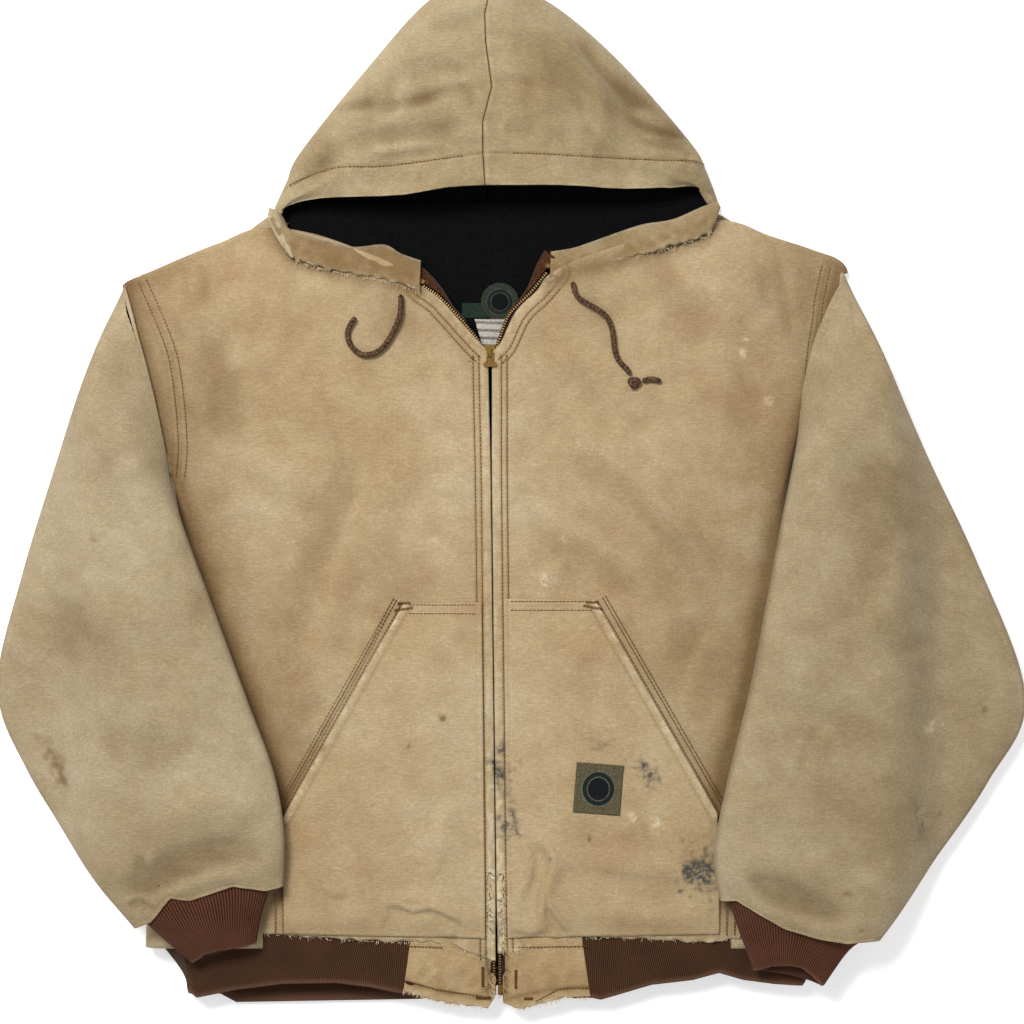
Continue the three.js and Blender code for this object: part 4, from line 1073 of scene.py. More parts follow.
# %% Waist tabs
TAB_LEVEL = 28.1
for name, side in SIDES.items():
    way = side["way"]
    corners = [p if abs(p[0]) > 1 or way > 0 else (p[0] + zip_x(p[1]) - 1.0, p[1]) for p in side["tab"]]
    a, b, c, d, e, f = corners
    plan = fill(even([b, c, d], 60), even([(a[0], a[1] + 6), (f[0], f[1] + 6)], 60, False),
                even([b, a, (a[0], a[1] + 6)], 50, False), even([d, e, f, (f[0], f[1] + 6)], 50, False))
    x, y = plan[..., 0], plan[..., 1]
    low = plan[:1]
    # Each tab is notched where the slider stops at the zip's foot.
    x = x + way * 4.6 * bell(np.abs(x - zip_x(y)), 6) * ease(y, 19, 24) * ease(52 - y, 0, 8)
    edge = np.minimum(np.abs(y - low[..., 1]), np.abs(x - zip_x(y)))
    frayed = 0.5 * hills(x, y, 3, 21) * bell(edge, 2.5)
    x, y = x + frayed, y + 1.2 * frayed
    z = TAB_LEVEL + 0.5 * hills(x, y, 16, 22) + 0.5 * bell(edge - 2, 2) - 0.4 * bell(edge - 8, 1.4)
    patchy = patches(x, y, 8, 35)
    marks = {"worn": np.clip(0.9 * bell(edge, 2.2) * patchy + 0.3 * spots(x, y, "worn"), 0, 1),
             "soiled": np.clip(0.5 * bell(edge - 8, 2) + 0.3 * patchy * bell(y - 15, 16), 0, 1),
             "blackened": spots(x, y, "blackened")}
    piece(f"tab_{name}", grid_mesh(f"tab_{name}", np.stack([x, y, z], -1), marks=marks), tab_duck, "jacket",
          [f"waist_tab_{name}"], wall=2.0)

# %% Waist rib
RIB_TOP = 61.0
RIB_PITCH, LOOP_PITCH = 1.9, 2.2
FRONT_FOOT = [(-282, 46), (-273, 34), (-266, 18), (-265, 8.6), (-256, 2.8), (-222, 9.5), (-183, 14.6),
              (-137, 15.5),
              (-107, 12), (-78, 6), (-60, 2), (66, 2), (85, 2.6), (92, 1), (136, 13.8), (171, 18), (194, 24),
              (215, 18), (241, 14.6), (266, 12.9), (272, 20)]
BACK_FOOT = [(-266, 3), (-238, 3), (-224, -4.5), (-64, -1.7), (-40, 3), (-15, 10), (40, 10), (92, 5),
             (136, 16),
             (171, 20), (194, 27), (215, 20.5), (241, 17), (266, 15.5), (272, 22)]
RIB_LOW, RIB_HIGH = 3.0, 27.2


def rib_ring(t, inset):
    """One line round the waist at a share t of the way from the top to the foot: the right front, the
    right side, the back, the left side and the left front."""
    right, left = mix(-296, -266, ease(t, 0, 1)), mix(296, 272, ease(t, 0, 1))
    low, high = RIB_LOW + inset, RIB_HIGH - inset
    r = (high - low) / 2
    a = np.linspace(0, np.pi, 26)
    xs = np.concatenate([np.linspace(-62, right + r + inset, 150)[:-1], right + r + inset - r * np.sin(a),
                         np.linspace(right + r + inset, left - r - inset, 190)[1:-1],
                         left - r - inset + r * np.sin(a),
                         np.linspace(left - r - inset, 68, 150)[1:]])
    zs = np.concatenate([np.full(149, high), low + r + r * np.cos(a), np.full(188, low),
                         low + r - r * np.cos(a),
                         np.full(149, high)])
    front, behind = np.interp(xs, *zip(*FRONT_FOOT)), np.interp(xs, *zip(*BACK_FOOT))
    foot = mix(behind, front, ease(zs, 6, 24))
    return xs, foot, zs


rows = []
for t in np.linspace(0, 1, 26):
    xs, foot, zs = rib_ring(t, 0.0)
    rows.append(np.stack([xs, mix(RIB_TOP, foot, t), zs], -1))
for turn in np.linspace(0, np.pi, 9)[1:]:
    xs, foot, zs = rib_ring(1.0, 1.9 * (1 - np.cos(turn)))
    rows.append(np.stack([xs, foot - 1.6 * np.sin(turn), zs], -1))
for t in np.linspace(1, 0.1, 8)[1:]:
    xs, foot, zs = rib_ring(t, 3.8)
    rows.append(np.stack([xs, mix(RIB_TOP, foot, t), zs], -1))
rib = np.array(rows)
rib[..., 2] += 0.35 * hills(rib[..., 0], rib[..., 1], 22, 51) * ease(rib[..., 2], 20, 26)
round_waist = lengths(rib[0])
rib_map = (round_waist[None] / RIB_PITCH, rib[..., 1] / LOOP_PITCH)
rib_marks = {"worn": 0.35 * bell(rib[..., 1] - rib[25:26, :, 1], 2.0)}
piece("waist_knit", grid_mesh("waist_knit", rib, uv=rib_map, marks=rib_marks, facing="out"), waist_knit,
      "jacket", ["waist_rib"])
print("ribs round the waist", int(round_waist[-1] / RIB_PITCH))

# %% [markdown]
# ## Sleeves
#
# A sleeve is a flattened tube. Its inner side lies on the body and its outer side falls to the table. The
# section is a superellipse, flatter than an oval, with its edges turned tightly as a folded sleeve's are.
# One sheet runs from the armhole to the hem and bends at the elbow, so no joint shows.

# %% Sleeves
LAP = 31.5
SLEEVE_DEPTH, SLEEVE_LENGTH = 34.0, 560
BOW = {"right": 4.0, "left": 11.0}
SLEEVE_FOLDS = {
    "right": [
        ([(-322, 84), (-298, 103), (-264, 121), (-224, 132), (-186, 124)], 11, -5.2),
        ([(-300, 150), (-262, 166), (-222, 172), (-188, 158)], 20, 3.0),
        ([(-300, 84), (-262, 100), (-224, 110), (-190, 106)], 6, 1.6),
        ([(-390, 230), (-372, 190), (-352, 160)], 12, -1.0),
        ([(-300, 560), (-306, 480), (-292, 400)], 12, 1.2),
        ([(-350, 480), (-330, 420), (-300, 380)], 16, -1.0, "lap"),
        ([(-390, 370), (-340, 330), (-280, 300)], 20, 1.4, "lap"),
        ([(-340, 250), (-290, 230), (-240, 236)], 14, 1.1, "lap"),
        ([(-315, 84), (-300, 90), (-285, 80)], 3, 1.3, "lap"),
        ([(-262, 420), (-240, 360), (-226, 310)], 9, 1.0, "lap"),
        ([(-300, 132), (-296, 118), (-302, 100)], 4, 1.0, "lap"),
    ],
    "left": [
        ([(300, 470), (322, 400), (334, 330)], 18, -1.6), ([(275, 560), (290, 500), (300, 450)], 14, 1.2),
        ([(350, 420), (330, 360), (300, 300)], 14, 1.2, "lap"),
        ([(208, 110), (244, 97), (276, 84), (308, 66)], 9, -4.6),
        ([(206, 134), (249, 119), (284, 100)], 13, 2.4), ([(216, 86), (250, 74), (290, 60)], 6, 1.5),
        ([(250, 280), (320, 250), (390, 250)], 18, 1.0, "lap"),
        ([(200, 150), (212, 170), (222, 200)], 9, 1.2),
        ([(400, 330), (420, 280), (430, 230)], 12, -1.0),
        ([(320, 330), (350, 310), (370, 320)], 8, 1.0, "lap"),
        ([(350, 130), (330, 110), (300, 100)], 10, 1.0),
        ([(330, 480), (352, 430), (380, 390)], 12, 1.2, "lap"),
    ],
}


def section(turn):
    """Half-width and half-height, from -1 to 1, of a flattened round section at an angle round it."""
    c, s = np.cos(turn), np.sin(turn)
    return np.sign(c) * np.abs(c) ** (2 / 3), np.sign(s) * np.abs(s) ** (2 / 3)


def drape(x):
    """How far the sleeve's underside is off the table: on the body inside, on the table outside."""
    return LAP * (1 - ease(np.abs(x), 330, 388))


SLEEVE_WRINKLES = {name: wrinkles(60 + side["way"], 22, 60, 1.1, (side["way"] * 190.0, 70.0),
                                  (side["way"] * 430.0, 600.0))
                   for name, side in SIDES.items()}


def sleeve_folds(x, y, name):
    """Hills, named folds and chance wrinkles of a sleeve."""
    return limited(1.0 * hills(x, y, 60, 14 + SIDES[name]["way"], 1.5) + 0.25 * hills(x, y, 17, 19)
                   + 1.6 * creases(x, y, SLEEVE_FOLDS[name]) + creases(x, y, SLEEVE_WRINKLES[name]), 3.6)


def sleeve_point(side, name, v, turn, inset=0.0):
    """A point of the sleeve: v goes from armhole to hem, and turn goes round the section, whose half-width
    and half-height follow |cos|^(2/3) and |sin|^(2/3). At the armhole the section is the flat seam, low at
    the shoulder and as high as the body below the arm, and bows in over the front."""
    a, b = curve_at(side["sleeve_out"], v), curve_at(side["sleeve_in"], v)
    middle, half = (a + b) / 2, (b - a) / 2
    reach = np.linalg.norm(half, axis=-1)
    c, s = section(turn)
    start = 1 - ease(v, 0, 0.16)
    p = middle + half * (c * (1 - inset / reach))[..., None]
    normal = np.stack([-half[..., 1], half[..., 0]], -1) / reach[..., None]
    normal = normal * np.where(normal[..., :1] * side["way"] < 0, 1, -1)
    p = p + normal * (BOW[name] * (1 - c * c) * start)[..., None]
    hem = np.interp((c + 1) / 2, *zip(*side["sleeve_hem"])) * ease(v, 0.8, 1.0) * mix(0.35, 1.0, s > 0)
    x, y = p[..., 0], p[..., 1] + hem
    depth = SLEEVE_DEPTH * mix(0.16, 1.0, ease(v, -0.02, 0.14)) * mix(1.0, 0.8, ease(v, 0.85, 1.0))
    low = body_height(share_up(x, y)) + mix(0.5, 2.5, ease(c, -1, -0.8))
    outer_x = middle[..., 0] + half[..., 0] * c
    level = mix(drape(outer_x) + depth / 2, low, start)
    z = level + (depth / 2 - inset) * s
    folds = sleeve_folds(x, y, name)
    down = (1 - v) * SLEEVE_LENGTH
    folds = folds + 0.5 * pucker(down, c * 60, 10, 14, 7) - 0.5 * bell(down - 9, 1.3)
    return np.stack([x, y, z + ease(s, 0.1, 0.8) * (folds * mix(1.0, 0.3, start) - 0.9)], -1)


# Small spots of soil, wear and blackening, and broad soft spots of painted shade.
SLEEVE_SPOTS = {
    "right": [(-381, 214, 5, 0.55, "soiled"), (-376, 203, 6, 0.75, "soiled"), (-370, 190, 5, 0.8, "soiled"),
              (-392, 226, 3, 0.4, "soiled"), (-340, 396, 1.4, 1.0, "soiled"), (-340, 280, 46, 0.35, "painted_shade_and_tone"),
              (-280, 134, 24, 0.5, "painted_shade_and_tone"), (-240, 138, 18, 0.4, "painted_shade_and_tone"), (-400, 300, 36, 0.4, "painted_shade_and_tone"),
              (-330, 470, 30, 0.35, "painted_shade_and_tone"), (-264, 330, 26, 0.3, "painted_shade_and_tone")],
    "left": [(379, 239, 3, 0.9, "worn"), (375, 234, 3, 0.8, "worn"), (235, 344, 1.3, 1.0, "soiled"),
             (422, 249, 2, 1.0, "soiled"), (362, 156, 8, 0.4, "blackened"), (368, 146, 6, 0.4, "blackened"),
             (359, 170, 5, 0.35, "blackened"), (383, 160, 2, 0.9, "soiled"), (300, 96, 2, 0.8, "soiled"),
             (280, 78, 2, 0.8, "blackened"), (262, 66, 1.4, 0.9, "blackened"), (312, 64, 1.6, 0.8, "soiled"),
             (380, 300, 60, 0.5, "painted_shade_and_tone"), (350, 430, 40, 0.4, "painted_shade_and_tone"), (430, 250, 40, 0.45, "painted_shade_and_tone"),
             (350, 180, 34, 0.35, "painted_shade_and_tone")],
}
for name, side in SIDES.items():
    v = np.linspace(0, 1, 270)[:, None]
    turn = np.linspace(0, 2 * np.pi, 191)[None, :-1]
    v, turn = np.broadcast_arrays(v, turn)
    grid = sleeve_point(side, name, v, turn)
    x, y, z = np.moveaxis(grid, -1, 0)
    down = (1 - v) * SLEEVE_LENGTH
    patchy = patches(x, y, 12, 37)
    upper = ease(z, 26, 40)
    marks = {"worn": 0.6 * bell(down, 1.6) * patchy + 0.2 * bell(v * 580, 2.5) * patchy,
             "soiled": 0.25 * bell(down - 9, 1.0) * upper,
             # Painted shade along the sleeve's two folded edges, more on the left sleeve, which lies away
             # from the lamp, and in the folds' valleys, with a little chance tone.
             "painted_shade_and_tone": 0.4 * bell(1 - np.abs(np.cos(turn)), 0.04) * (0.4 + 0.6 * (side["way"] > 0))
             + 0.1 * (1 - patchy) + 0.13 * upper * np.clip(-sleeve_folds(x, y, name) - 0.3, 0, 5),
             "blackened": np.zeros_like(x)}
    ragged = np.exp(0.35 * hills(x, y, 5, 72) + 0.25 * hills(x, y, 10, 75))
    for sx, sy, radius, strength, kind in SLEEVE_SPOTS[name]:
        near = np.hypot(x - sx, y - sy) * (1 if kind == "painted_shade_and_tone" else ragged)
        blot = strength * (0.4 if kind == "painted_shade_and_tone" else 1) * bell(near, radius) * (z > 26)
        marks[kind] = np.clip(marks[kind] + blot, 0, 1)
    mesh = grid_mesh(f"sleeve_{name}", grid, wrap=True, marks=marks, facing="out")
    sleeve = piece(f"sleeve_{name}", mesh, sleeve_duck, None,
                   [f"sleeve_upper_{name}", f"sleeve_lower_{name}"], wall=1.3)
    inner = sleeve_point(side, name, v[::6, ::4] * 0.95 + 0.01, turn[::6, ::4], 6.0)
    inside = piece(f"sleeve_inside_{name}",
                   grid_mesh(f"sleeve_inside_{name}", inner, wrap=True, facing="out"),
                   black_lining, None,
                   [f"sleeve_lining_upper_{name}", f"sleeve_lining_lower_{name}"], wall=1.4)
    low, high = curve_at(side["sleeve_out"], 1 / 3), curve_at(side["sleeve_in"], 1 / 3)
    across = (high - low) / np.linalg.norm(high - low)
    down = np.array([across[1], -across[0]]) * side["way"]
    down = down if down[1] < 0 else -down
    for cloth in (sleeve, inside):
        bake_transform(cloth)

# %% [markdown]
# ## Cuffs
#
# A cuff is a doubled tube of rib knit. It is gathered into the sleeve, so its ribs fan out from a narrower
# mouth. The map across counts ribs, with the same number at both ends.

# %% Cuffs
RIBS_ROUND_CUFF = 84


def cuff_ring(side, t, inset, turn):
    """The cuff's section at a share t from inside the sleeve to the mouth, a depth inside its outer face."""
    a, b = curve_at(side["cuff_out"], t), curve_at(side["cuff_in"], t)
    middle, half = (a + b) / 2, (b - a) / 2
    reach = np.linalg.norm(half)
    c, s = section(turn)
    p = middle + half * (c * (1 - inset / reach))[..., None]
    depth = mix(20.0, 15.0, t)
    level = mix(LAP + SLEEVE_DEPTH / 2 - 2, LAP + 2 + 7.5, float(ease(t, 0.3, 0.8)))
    mouth = np.interp((c + 1) / 2, *zip(*side["cuff_mouth"])) * ease(t, 0.6, 1)
    ripple = 0.9 * np.cos(c * 5 + 1) * ease(t, 0.45, 1) * ease(s, 0, 0.5)
    return np.stack([p[:, 0], p[:, 1] + mouth * mix(0.2, 1.0, ease(s, -0.4, 0.2)),
                     level + (depth / 2 - inset) * s + ripple], -1)


for name, side in SIDES.items():
    # Equal steps of ribs along the flat faces, so that the ribs don't crowd at the two folds.
    flat = np.linspace(-1, 1, 131)[:-1]
    turn = np.concatenate([np.arccos(np.sign(-flat) * np.abs(flat) ** 1.5),
                           2 * np.pi - np.arccos(np.sign(flat) * np.abs(flat) ** 1.5)])
    rows = [cuff_ring(side, t, 0.0, turn) for t in np.linspace(0, 1, 40)]
    mouth_way = curve_at(side["cuff_out"], 1.0) - curve_at(side["cuff_out"], 0.9)
    mouth_way = mouth_way / np.linalg.norm(mouth_way)
    for roll in np.linspace(0, np.pi, 9)[1:]:
        ring = cuff_ring(side, 1.0, 1.8 * (1 - np.cos(roll)), turn)
        ring[:, :2] += mouth_way * 1.6 * np.sin(roll)
        rows.append(ring)
    rows += [cuff_ring(side, t, 3.6, turn) for t in np.linspace(1, 0.1, 8)[1:]]
    grid = np.array(rows)
    across = np.broadcast_to(np.arange(len(turn)) / len(turn) * RIBS_ROUND_CUFF, grid.shape[:2])
    down = np.broadcast_to(np.arange(len(grid))[:, None] * 0.9, grid.shape[:2])
    marks = {"worn": np.broadcast_to(0.5 * bell(np.arange(len(grid)) - 42, 2.5)[:, None], grid.shape[:2])}
    piece(f"cuff_knit_{name}", grid_mesh(f"cuff_knit_{name}", grid, wrap=True, uv=(across, down), marks=marks,
                                         facing="out"), cuff_knit, f"sleeve_{name}",
                                         [f"cuff_{name}"])

# %% [markdown]
# ## Hood
#
# The hood is two halves with a seam over the crown. Each half is one sheet from the face edge over the
# crown, round the fold and back along the table to the nape. It stands highest near the middle and closes
# to a fold at the corners.

# %% Hood
HOOD_DEPTH, HOOD_EDGE_DEPTH = 56.0, 9.0
HOOD_SEAM = [(702, -7.7), (726, -9.5), (752, -9.5), (782, -1.7), (820, -6.9), (844, -7.7), (860, -4.3),
             (880, -5)]
CASING = {"right": [(-196, 690), (-174, 702), (-138, 714.5), (-95, 715.5), (-49, 720.5), (-8, 726.5)],
          "left": [(-8, 726.5), (32, 725.8), (86, 723.3), (139, 721.5), (177, 720.5), (196, 706)]}
HOOD_FOLDS = {
    "right": [([(-150, 762), (-110, 768), (-76, 767), (-34, 779), (-2, 779)], 5, -2.6),
              ([(-140, 752), (-80, 757), (-20, 768)], 8, 1.6),
              ([(-95, 795), (-45, 806), (-8, 803)], 8, 1.7, "lap"),
              ([(-154, 730), (-90, 742), (-34, 747), (-12, 753)], 7, -1.9),
              ([(-110, 724), (-70, 728), (-30, 730)], 4, 1.0, "lap"),
              ([(-60, 835), (-30, 842), (-9, 838)], 6, 1.2, "lap"),
              ([(-120, 820), (-90, 830), (-60, 850)], 10, 1.2),
              ([(-170, 706), (-150, 722), (-140, 744)], 7, 1.5, "lap"),
              ([(-30, 790), (-16, 775), (-12, 760)], 4, 1.0, "lap"),
              ([(-70, 700), (-66, 708), (-68, 716)], 3, 0.9)],
    "left": [([(60, 836), (92, 796), (120, 774), (156, 749)], 6, -2.8),
             ([(30, 846), (64, 812), (92, 770), (96, 736)], 10, 2.6),
             ([(112, 757), (133, 748), (150, 744), (170, 741)], 3.4, -2.4),
             ([(118, 766), (140, 757), (166, 752)], 5, 1.5),
             ([(13, 760), (8, 744), (10, 729)], 3.2, 1.3), ([(76, 790), (88, 752), (90, 731)], 8, 1.6, "lap"),
             ([(30, 778), (40, 755), (36, 732)], 7, 1.2, "lap"), ([(0, 780), (14, 786), (40, 782)], 5, -1.3),
             ([(56, 776), (62, 750), (60, 730)], 6, -1.0), ([(120, 735), (150, 733), (176, 726)], 4, -1.4),
             ([(6, 822), (30, 826), (60, 818)], 8, 1.1, "lap")],
}


HOOD_WRINKLES = {name: wrinkles(80 + side["way"], 24, 45, 1.4, (side["way"] * 5.0, 640.0),
                                (side["way"] * 200.0, 790.0))
                 for name, side in SIDES.items()}


def hood_folds(x, y, name):
    """Hills, named folds and chance wrinkles of the hood."""
    return limited(1.0 * hills(x, y, 52, 24 + SIDES[name]["way"], 1.2) + 0.25 * hills(x, y, 16, 27)
                   + 1.3 * creases(x, y, HOOD_FOLDS[name]) + 0.7 * creases(x, y, HOOD_WRINKLES[name]), 4.0)


def hood_point(side, name, v, t, inset=0.0):
    """A point of the hood: v from the crown seam (0) to the corner (1), t from the face edge (0) over the
    fold (about 0.6) to the nape (1)."""
    f, s, n = (curve_at(side[k], v) for k in ("hood_face", "hood_top", "hood_nape"))
    depth = mix(HOOD_DEPTH, HOOD_EDGE_DEPTH, v**3)
    r = depth / 2
    away = (s - f) / np.linalg.norm(s - f, axis=-1, keepdims=True)
    pivot = s - away * r[..., None]
    top, under = np.clip(t / 0.5, 0, 1), np.clip((t - 0.7) / 0.3, 0, 1)
    turn = np.clip((t - 0.5) / 0.2, 0, 1) * np.pi
    plan = mix(f, pivot, top[..., None])
    reach = np.maximum(r - inset, 0.5)
    plan = plan + away * (reach * np.sin(turn))[..., None]
    plan = mix(plan, n, under[..., None])
    z = np.where(t <= 0.5, depth - inset, np.where(t <= 0.7, r + reach * np.cos(turn), inset))
    x, y = plan[..., 0] + side["way"] * 0.15, plan[..., 1]
    x = x + (np.interp(y, *zip(*HOOD_SEAM)) + 6) * (1 - ease(v, 0, 0.16)) * (t < 0.7)
    folds = hood_folds(x, y, name)
    hem, along, _ = nearest(x, y, even(CASING[name], 20))
    below = away_from(x, y, even(side["hood_face"], 20))
    folds = folds + 0.45 * pucker(hem, along, 12, 15, 9) + 0.45 * pucker(below, along, 9, 21, 10)
    folds = folds - 0.9 * bell(hem, 1.3)
    folds = folds + 1.0 * bell(below - 4, 5) + 0.5 * pucker(np.abs(x + 6), y, 9, 18, 11)
    arch = 9.0 * (1 - ease(top, 0, 0.55)) * (1 - v**2)
    fall = 14.0 * ease(np.abs(x) / 170, 0.25, 1.0) * (1 - v**4)
    over = ease(t, 0.62, 0.5)
    z = z - (t < 0.7) * (arch + fall * (1 - ease(t, 0.5, 0.7)))
    return np.stack([x, y, z + over * (folds - 0.9)], -1)


def hood_top_level(x, y, name):
    """Height of the hood's top face over a place: that of the nearest point of a fine grid of it."""
    v, t = np.meshgrid(np.linspace(0, 1, 160), np.linspace(0, 0.5, 160), indexing="ij")
    points = hood_point(SIDES[name], name, v, t).reshape(-1, 3)
    place = np.stack([np.ravel(x), np.ravel(y)], -1)
    return np.array([points[np.argmin(((points[:, :2] - spot) ** 2).sum(1)), 2] for spot in place])


# Broad soft spots of painted shade on the hood's folds.
HOOD_PAINTED_SHADE = {"right": [(-110, 770, 16, 0.3), (-60, 772, 14, 0.5), (-150, 722, 16, 0.4), (-40, 745, 12, 0.3)],
            "left": [(60, 800, 30, 0.6), (110, 770, 26, 0.6), (150, 745, 18, 0.7), (30, 850, 22, 0.3),
                     (90, 726, 14, 0.35)]}
for name, side in SIDES.items():
    v, t = np.meshgrid(np.linspace(0, 1, 170), np.linspace(0, 1, 300), indexing="ij")
    grid = hood_point(side, name, v, t)
    x, y = grid[..., 0], grid[..., 1]
    upper = t < 0.6
    patchy = patches(x, y, 12, 39)
    face = np.linalg.norm(grid[..., :2] - grid[:, :1, :2], axis=-1)
    casing = away_from(x, y, even(CASING[name], 20))
    seam = np.abs(v) * 190
    grid[..., 2] -= upper * (0.7 * bell(seam, 1.2) - 0.5 * bell(seam - 3, 2.2) * (side["way"] > 0))
    # The last mark is painted shade in the folds' valleys, with a little chance tone.
    marks = {"worn": upper * (0.55 * bell(face, 1.6) + 0.3 * bell(seam - 2.5, 1.4)) * patchy,
             "soiled": upper * (0.4 * bell(casing, 0.9) + 0.45 * bell(seam, 0.9)),
             "painted_shade_and_tone": upper * (0.1 * (1 - patchy) + 0.16 * np.clip(-hood_folds(x, y, name) - 0.3, 0, 5))}
    for sx, sy, radius, strength in HOOD_PAINTED_SHADE[name]:
        marks["painted_shade_and_tone"] = np.clip(marks["painted_shade_and_tone"] + strength * upper * bell(np.hypot(x - sx, y - sy), radius), 0, 1)
    piece(f"hood_{name}", grid_mesh(f"hood_{name}", grid, marks=marks, facing="out"), hood_duck, "hood",
          [f"hood_panel_{name}"], wall=1.4)
    v, t = np.meshgrid(np.linspace(0, 0.99, 80), np.linspace(0.02, 1, 90), indexing="ij")
    inner = hood_point(side, name, v, t, 3.4)
    inner[..., 2] -= 4.6 * (1 - ease(t, 0.1, 0.2)) * (1 - v**3)
    inner[..., 0] -= side["way"] * 1.2 * (1 - ease(v, 0, 0.08))
    piece(f"hood_inside_{name}", grid_mesh(f"hood_inside_{name}", inner, facing="out"), black_lining, "hood",
          [f"hood_lining_{name}"], wall=1.2)

# %% [markdown]
# ## Neck
#
# Between the body and the hood, one black sheet lines the neck and one duck band joins the back to the
# hood underneath.

# %% Neck
across = np.linspace(-1, 1, 90)[None]
up = np.linspace(0, 1, 50)[:, None]
neck_y = mix(560, 690, up) + 0 * across
neck_x = across * np.interp(neck_y, [560, 620, 660, 690], [250, 200, 186, 165])
neck_z = 5.8 + 0.3 * hills(neck_x, neck_y, 30, 61)
neck = piece("neck_lining_cloth", grid_mesh("neck_lining_cloth", np.stack([neck_x, neck_y, neck_z], -1)),
             black_lining, None, wall=1.0)
band_x = across * mix(240, 188, up)
band_y = mix(top_y(band_x) - 14, 682, up)
band = piece("neck_band", grid_mesh("neck_band", np.stack([band_x, band_y, 1.9 + 0 * band_x], -1),
                                    facing=(0, 0, -1)),
             hood_duck, None, wall=1.0)
for cloth in (neck, band):
    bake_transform(cloth)

# %% Hood rim
def hold_rim(thing):
    """Bakes the rim's place into its points."""
    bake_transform(thing)


def rim_height(v, x, y):
    """The turned-out edge: full along its middle, rolled at both sides, and creased across."""
    round_section = np.sqrt(np.clip(1 - (2 * v - 1) ** 4, 0, 1))
    share = share_up(x, y)
    level = body_height(share) + mix(1.0, 3.2, ease(share, 0.9, 1))
    return level + 5.0 * round_section + 0.5 * hills(x, y, 9, 62) * round_section


for name, side in SIDES.items():
    low, high = even(side["rim_low"], 130), even(side["rim_up"], 130)
    v = np.linspace(0, 1, 34)[:, None]
    plan = mix(low[None], high[None], v[..., None])
    v = np.broadcast_to(v, plan.shape[:2])
    x, y = plan[..., 0], plan[..., 1]
    y = y + 0.9 * hills(x, y * 0, 5, 63) * bell(v, 0.16)
    z = rim_height(v, x, y)
    patchy = patches(x, y, 7, 64)
    marks = {"worn": np.clip(1.0 * bell(v, 0.08) * patchy + 0.7 * bell(v - 1, 0.07), 0, 1),
             "soiled": np.clip(0.5 * bell(v - 0.35, 0.3) * patchy, 0, 1)}
    rim = piece(f"hood_edge_{name}", grid_mesh(f"hood_edge_{name}", np.stack([x, y, z], -1), marks=marks),
                rolled_duck, None, [f"hood_rim_{name}"], wall=1.4)
    hold_rim(rim)

# At the right corner the casing turns over itself, from the hood's face down to the rim, as a narrow roll.
outer = even([(-194.8, 683), (-195, 672), (-187, 655), (-175.5, 639)], 60)
inner = even([(-184, 677.7), (-179.5, 669), (-174, 653), (-171.5, 639)], 60)
across = np.linspace(0, 1, 16)[None, :, None]
plan = mix(outer[:, None], inner[:, None], across)
x, y = plan[..., 0], plan[..., 1]
z = body_height(share_up(x, y)) + 4.5 + 4.0 * np.sin(np.pi * across[..., 0])
z = z + 0.4 * hills(x, y, 8, 65)
# The roll's inner side is painted darker as shade.
marks = {"worn": 0.6 * bell(across[..., 0] + 0 * x, 0.12), "painted_shade_and_tone": 0.8 * bell(1 - across[..., 0] + 0 * x, 0.3)}
piece("hood_corner_roll", grid_mesh("hood_corner_roll", np.stack([x, y, z], -1), marks=marks), hood_duck,
      "hood",
      wall=1.4)

# %% [markdown]
# Between the end of the rim and the top of the zip, the inside of the collar turns outwards and shows its
# rust-brown facing as a narrow wedge.

# %% Collar facing
for name, side in SIDES.items():
    line = even(side["zip"], 60)[26:]
    line = np.concatenate([line, line[-1] + (line[-1] - line[-2]) * np.arange(1, 9)[:, None]])
    out = sideways(line, side["way"])
    t = np.linspace(0, 1, len(line))[:, None]
    reach = mix(0.5, 11.0, ease(t, 0.2, 1.0)) * np.linspace(0, 1, 14)[None]
    plan = line[:, None] - out[:, None] * (reach - 0.4)[..., None]
    z = CHAIN_HIGH - 0.6 - 4.0 * np.linspace(0, 1, 14)[None] ** 2
    z = z + 0.5 * hills(plan[..., 0], plan[..., 1], 9, 81)
    grid = np.concatenate([plan, z[..., None]], -1)
    piece(f"collar_facing_{name}", grid_mesh(f"collar_facing_{name}", grid), rust_facing, "jacket",
          wall=1.0)

# %% [markdown]
# ## Drawcord
#
# The hood's cord is a round braid 5 mm thick. Each free end comes out of the rim and lies on the chest.
# The surface of a braid is two sets of strands that wind opposite ways, so its radius is the product of
# two waves that run along and round the cord.

# %% Drawcord
CORD = 5.0
CORD_LEVEL = BODY_DEPTH + 0.4 + CORD / 2


def braid(name, points, level, sides=20):
    """A braided tube along a curve, its radius waved by sin(round + along) and sin(round − along)."""
    flat = even(points, 220)
    path = np.c_[flat, np.full(len(flat), level)] if flat.shape[1] == 2 else flat
    along = lengths(path)
    ahead = np.gradient(path, axis=0)
    ahead = ahead / np.linalg.norm(ahead, axis=1, keepdims=True)
    side_way = np.cross(ahead, (0, 0, 1.0))
    side_way = side_way / np.linalg.norm(side_way, axis=1, keepdims=True)
    up_way = np.cross(side_way, ahead)
    a = np.linspace(0, 2 * np.pi, sides + 1)[None, :-1]
    wind = along[:, None] * 2 * np.pi / 7.0
    waves = np.abs(np.sin(2 * a + wind)) * np.abs(np.sin(2 * a - wind))
    end = np.minimum(along, along[-1] - along)[:, None]
    radius = CORD / 2 * (0.86 + 0.14 * waves) * (0.55 + 0.45 * ease(end, 0, 2.2))
    around = np.cos(a)[..., None] * side_way[:, None] + np.sin(a)[..., None] * up_way[:, None]
    ring = radius[..., None] * around
    return grid_mesh(name, path[:, None] + ring, wrap=True, facing="out"), path


